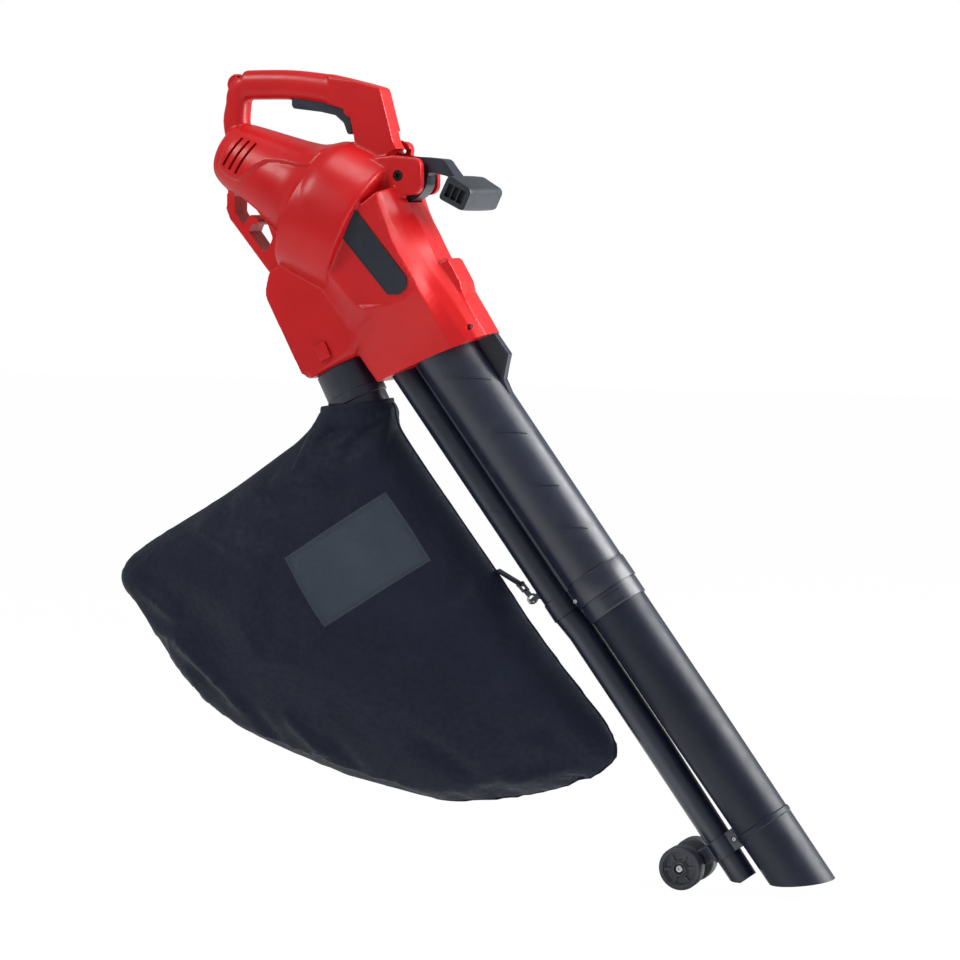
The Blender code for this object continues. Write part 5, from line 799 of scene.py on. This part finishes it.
# The collecting bag: two panels of dark woven polyester, lightly coated, sewn together round the edge and
# gathered with a hem at the neck. It hangs from the neck, blown half full, and sags to its rounded bottom.
weave, given, where = effect("plain_weave", {"Warp": (0.02, 0.02, 0.03, 1), "Weft": (0.03, 0.03, 0.04, 1),
    "Faded": (0.06, 0.06, 0.08, 1), "Threads": 260.0})
along = put(weave, "ShaderNodeMapping", {"Vector": where, "Rotation": (0.0, 0.62, 0.0)}).outputs[0]
warp, weft = [put(weave, "ShaderNodeTexWave", {"Vector": along, "Scale": given.outputs["Threads"], "Distortion": 0.4,
    "Detail": 1.0}, bands_direction=way).outputs[1] for way in "XZ"]
over = worked(weave, warp, weft, "GREATER_THAN")
crown = worked(weave, warp, weft, "MAXIMUM")
slub = mottled(weave, where, 150.0, 3.0)
wear = mottled(weave, where, 11.0, 5.0, 0.6)
tone = blended(weave, over, given.outputs["Warp"], given.outputs["Weft"])
tone = blended(weave, ranged(weave, wear, 0.42, 0.72, 0.0, 0.5), tone, given.outputs["Faded"])
raised = worked(weave, crown, slub, "MULTIPLY")
put(weave, "NodeGroupOutput", {"Color": tone, "Roughness": ranged(weave, slub, 0.3, 0.7, 0.58, 0.78),
    "Height": raised})
CLOTH = finish("bag_cloth", weave, {"Warp": (0.002, 0.0042, 0.015, 1), "Weft": (0.0038, 0.0066, 0.0205, 1),
    "Faded": (0.0085, 0.0125, 0.0285, 1), "Threads": 240.0}, bump=0.5, depth=0.0005, specular_ior_level=0.22,
    sheen_weight=0.045, sheen_roughness=0.45)
PATCH = finish("patch_cloth", weave, {"Warp": (0.024, 0.032, 0.048, 1), "Weft": (0.031, 0.041, 0.06, 1),
    "Faded": (0.042, 0.053, 0.074, 1), "Threads": 340.0}, bump=0.3, depth=0.0003, specular_ior_level=0.25,
    sheen_weight=0.04, sheen_roughness=0.5)
plan = [(*mm(row), power) for *row, power in ((35, -413.5, 115, -402.5, 40, 0.5),
    (26.5, -421.5, 124.5, -409, 44, 0.5), (10, -446, 131.5, -432, 49, 0.52), (-33, -476, 160, -472, 55, 0.56),
    (-100, -522, 207, -533, 64, 0.62), (-155, -556, 270, -615, 74, 0.68), (-205, -585, 312, -672, 81, 0.72),
    (-250, -615, 352, -722, 86, 0.75), (-269, -640, 385, -761, 86, 0.75), (-268, -660, 419, -804, 83, 0.75),
    (-249, -686, 429, -838, 77, 0.75), (-221, -730, 412, -859, 67, 0.74), (-187, -774, 375, -882, 55, 0.72),
    (-142, -818, 325, -900, 40, 0.7), (-85, -850, 270, -913, 25, 0.66), (-5, -878.5, 205, -919.5, 11, 0.6),
    (60, -898.5, 160, -916, 5, 0.6))]
folds = mm([((-150, -560), (-14, -610), 14, 7), ((69, -428), (20, -500), 10, -6), ((40, -447), (105, -437), 6, -3.5),
    ((79, -467), (133, -415), 9, -6), ((20, -470), (85, -500), 12, 5), ((-41, -509), (-10, -545), 11, -8),
    ((-105, -528), (-80, -565), 10, -6), ((-170, -720), (-100, -780), 11, 7), ((-150, -755), (-95, -790), 7, -6),
    ((-110, -770), (-60, -815), 8, 6), ((-60, -800), (-20, -850), 9, -6), ((0, -810), (45, -862), 9, 6),
    ((60, -835), (95, -880), 9, -5), ((180, -820), (250, -870), 13, -7), ((290, -880), (400, -856), 9, 6),
    ((330, -800), (405, -845), 14, -6), ((315, -670), (296, -705), 12, -6), ((250, -600), (225, -650), 12, -5),
    ((50, -645), (262, -578), 30, 4), ((-240, -640), (-90, -700), 35, -7), ((-235, -655), (-165, -690), 10, 6),
    ((110, -720), (300, -790), 40, -4)])


def swell(x, z, side):
    """How far a place on the bag stands in or out of its even shape, from its folds and its slack."""
    out = 0.0
    for (x0, z0), (x1, z1), width, depth in folds:
        dx, dz = x1 - x0, z1 - z0
        t = ((x - x0) * dx + (z - z0) * dz) / (dx * dx + dz * dz)
        reach = exp(-max(0.0, abs(t - 0.5) - 0.35) ** 2 * 30)
        t = min(1.0, max(0.0, t))
        gap = hypot(x - x0 - dx * t, z - z0 - dz * t)
        out += 1.4 * (depth if side < 0 else -0.6 * depth) * exp(-(gap / width) ** 2) * reach
    spot = Vector((x, side * 3.1, z))
    out += 0.0055 * noise.noise(spot * 7.0) + 0.0028 * noise.noise(spot * 19.0 + Vector((5, 0, 0)))
    return out + 0.0009 * noise.noise(spot * 55.0)


def bag_ring(values, count=120):
    """One ring of the bag across its two panels, with folds fading out at the edge seam."""
    left, right, depth, power = Vector(values[0:2]), Vector(values[2:4]), values[4], values[5]
    slack = (right - left).normalized() * 0.0024
    left, right = left - slack, right + slack
    ring = []
    for k in range(count):
        t = 2.0 * pi * k / count
        across, side = -cos(t), (-1 if sin(t) >= 0 else 1)
        place = left + (right - left) * (across + 1.0) / 2.0
        lens = max(0.0, 1.0 - across * across)
        calm = min(1.0, lens * 3.0) * min(1.0, depth / 0.05)
        y = depth * (lens ** power) + calm * (swell(place.x, place.y, side) - 0.003)
        ring.append((place.x, side * max(y, 0.0005), place.y))
    return ring


bag = form("collecting_bag", skinned([bag_ring(v) for v in flowing(plan, 8)]), BODY, CLOTH)


def blown(piece, held, cap):
    """Let sewn cloth swell and pucker under a light pressure, and keep that as the mesh, within a cap."""
    even_skin(piece, 0.0055)
    settled(piece)
    rest = [v.co.copy() for v in piece.data.vertices]
    piece.vertex_groups.new(name="held").add([i for i, p in enumerate(rest) if held(p)], 1.0, "REPLACE")
    step = piece.modifiers.new("cloth", "CLOTH")
    step.settings.quality, step.settings.mass = 5, 0.25
    step.settings.tension_stiffness = step.settings.compression_stiffness = 12.0
    step.settings.shear_stiffness, step.settings.bending_stiffness = 5.0, 0.4
    step.settings.use_pressure, step.settings.uniform_pressure_force = True, 3.0
    step.settings.shrink_min = -0.045
    step.settings.vertex_group_mass = "held"
    step.settings.effector_weights.gravity = 0.0
    step.collision_settings.use_collision = False
    step.point_cache.frame_start, step.point_cache.frame_end = 1, 20
    for k in range(1, 21):
        scene.frame_set(k)
    shown = piece.evaluated_get(bpy.context.evaluated_depsgraph_get())
    moved = [v.co.copy() for v in shown.data.vertices]
    piece.modifiers.clear()
    scene.frame_set(1)
    for vertex, start, end in zip(piece.data.vertices, rest, moved):
        step = end - start
        flat = min(1.0, 0.003 / max(hypot(step.x, step.z), 1e-6))
        vertex.co = start + Vector((step.x * flat, max(-cap, min(cap, step.y)), step.z * flat))
    piece.modifiers.new("finer", "SUBSURF").levels = 1
    settled(piece)


blown(bag, lambda p: (p - SPOUT.translation).length < 0.085, 0.009)
painted(bag, CLOTH)
cut(bag, SPOUT, turned(mm([(-50, 39.2), (69, 39.2)]), 112))
carried(bag, "bag", angle=60)
bpy.context.view_layer.update()


def wrapped(name, line, half, out, inward, closed, material):
    """A flat band of cloth, or a piping, along a line of points, each with its way out of the bag."""
    rings = []
    for i, (spot, away) in enumerate(line):
        ahead = line[(i + 1) % len(line)][0] if closed or i + 1 < len(line) else spot
        behind = line[i - 1][0] if closed or i > 0 else spot
        across = (ahead - behind).normalized().cross(away).normalized()
        rings.append([spot + across * (half * cos(a)) + away * ((out if sin(a) > 0 else inward) * sin(a))
            for a in (pi * k / 4 for k in range(8))])
    carried(form(name, skinned(rings, closed), BODY, material), None, angle=60)


hem_line = []
for x, y, z in bag_ring([0.03, -0.4185, 0.12, -0.4065, 0.0425, 0.5], 96):
    away = Vector((x - 0.075, y, 0.0)).normalized()
    hem_line.append((Vector((x, y, z)), away))
wrapped("bag_hem", hem_line, 0.006, 0.0016, 0.001, True, CLOTH)

seam = []
stations = flowing(plan, 6)
outline = ([Vector((v[0], 0.0, v[1])) for v in stations[4:]] + [Vector((v[2], 0.0, v[3]))
    for v in reversed(stations[4:])])
heart = Vector((0.09, 0.0, -0.7))
for i, spot in enumerate(outline):
    ahead, behind = outline[min(i + 1, len(outline) - 1)], outline[max(i - 1, 0)]
    away = Vector((0.0, 1.0, 0.0)).cross((ahead - behind).normalized())
    away = away if away.dot(spot - heart) > 0 else -away
    hit, place, _, _ = bag.ray_cast(spot + away * 0.03, -away, distance=0.06)
    seam.append(((place if hit else spot) + away * 0.0002, away))
wrapped("bag_edge_seam", seam, 0.0013, 0.0014, 0.0012, False, CLOTH)

# The grey window patch: a square of smooth coated cloth, laid on the near panel and held by a double row
# of stitching.
corners = [Vector((0.0106, -0.6028)), Vector((0.14, -0.5154)), Vector((0.203, -0.5996)), Vector((0.0719, -0.6872))]


def on_bag(x, z, lift):
    """The bag's near side at a place, and a little out from it."""
    hit, spot, _, _ = bag.ray_cast(Vector((x, -0.4, z)), Vector((0, 1, 0)))
    return Vector((x, spot.y - lift, z)) if hit else Vector((x, -0.06, z))


bpy.context.view_layer.update()
bm = bmesh.new()
rows = []
for i in range(31):
    row = []
    for j in range(31):
        u, v = i / 30, j / 30
        p = corners[0] * (1 - u) * (1 - v) + corners[1] * u * (1 - v) + corners[2] * u * v + corners[3] * (1 - u) * v
        edge = 0.0002 if min(i, j, 30 - i, 30 - j) == 0 else 0.0009
        row.append(bm.verts.new(on_bag(p.x, p.y, edge)))
    rows.append(row)
for i in range(30):
    for j in range(30):
        bm.faces.new((rows[i][j], rows[i + 1][j], rows[i + 1][j + 1], rows[i][j + 1]))
carried(form("window_patch", bm, BODY, PATCH), None, angle=60)
THREAD = finish("sewing_thread", weave, {"Warp": (0.03, 0.036, 0.05, 1), "Weft": (0.045, 0.052, 0.07, 1),
    "Faded": (0.06, 0.068, 0.085, 1), "Threads": 900.0}, bump=0.3, depth=0.0002, specular_ior_level=0.3)
STITCH = 0.0052
bm = bmesh.new()
for i in range(4):
    first, last = corners[i], corners[(i + 1) % 4]
    middle = sum(corners, Vector((0.0, 0.0))) / 4
    count = int((last - first).length / STITCH)
    side = (last - first).normalized()
    inward = Vector((-side.y, side.x))
    inward = inward if inward.dot(middle - first) > 0 else -inward
    for k in range(count):
        for row in (0.0022, 0.0052):
            start = first + side * (STITCH * (k + 0.5)) + inward * row
            ends = [on_bag(*(start + side * step), 0.0012) for step in (-0.0015, 0.0015)]
            wide = Vector((inward.x, 0.0, inward.y)) * 0.00028
            low = [bm.verts.new(p + w) for p, w in ((ends[0], -wide), (ends[1], -wide), (ends[1], wide),
                (ends[0], wide))]
            high = [bm.verts.new(v.co + Vector((0.0, -0.00035, 0.0))) for v in low]
            bm.faces.new(low)
            bm.faces.new(high)
            for j in range(4):
                bm.faces.new((low[j], low[(j + 1) % 4], high[(j + 1) % 4], high[j]))
stitches = form("patch_stitches", bm, BODY, THREAD)
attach(stitches, "machine")

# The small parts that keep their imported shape: plated steel screws, pins, shaft and bearings, the copper
# and carbon of the motor, the nylon fan, and dark glossy fittings.
drawn_metal, given, where = effect("drawn_metal", {"Dark": (0.4, 0.4, 0.4, 1), "Light": (0.6, 0.6, 0.6, 1),
    "Fine": 1.0})
lines = put(drawn_metal, "ShaderNodeMapping", {"Vector": where, "Scale": (2600.0, 240.0, 2600.0)}).outputs[0]
brushed = mottled(drawn_metal, lines, given.outputs["Fine"], 3.0)
bloom = mottled(drawn_metal, where, 300.0, 4.0)
put(drawn_metal, "NodeGroupOutput", {"Color": blended(drawn_metal, ranged(drawn_metal, bloom, 0.35, 0.65),
    given.outputs["Dark"], given.outputs["Light"]), "Roughness": ranged(drawn_metal, brushed, 0.3, 0.7, 0.22, 0.42),
    "Height": brushed})
STEEL = finish("plated_steel", drawn_metal, {"Dark": (0.3, 0.31, 0.33, 1), "Light": (0.47, 0.48, 0.5, 1)},
    metallic=1.0, bump=0.1)
COPPER = finish("varnished_copper", drawn_metal, {"Dark": (0.5, 0.2, 0.09, 1), "Light": (0.72, 0.34, 0.18, 1)},
    metallic=1.0, bump=0.2)
CARBON = plastic("pressed_carbon", (0.018, 0.018, 0.019), (0.034, 0.034, 0.035), (0.06, 0.06, 0.06), 2200.0, 0.55,
    0.75, bump=0.3)
NYLON = plastic("natural_nylon", (0.62, 0.6, 0.54), (0.72, 0.7, 0.65), (0.5, 0.48, 0.43), 800.0, 0.38, 0.52,
    bump=0.08)
BLACKENED = finish("blackened_steel", drawn_metal, {"Dark": (0.02, 0.021, 0.024, 1),
    "Light": (0.05, 0.052, 0.056, 1)}, metallic=0.9, bump=0.15)
SLOT_FINISH = {"red_plastic": RED, "black_plastic": BLACK, "soft_grip": GRIP, "bag_fabric": CLOTH, "steel": STEEL,
    "copper": COPPER, "carbon": CARBON, "white_nylon": NYLON, "badge_plastic": DARK}
slot_of = {row["node"]: row["material_slot"] for row in frame["record"]["subparts"]}
for name, node in frame["nodes"].items():
    if not node.hide_render:
        painted(node, BLACKENED if name.startswith("pivot_") else SLOT_FINISH[slot_of[name]])
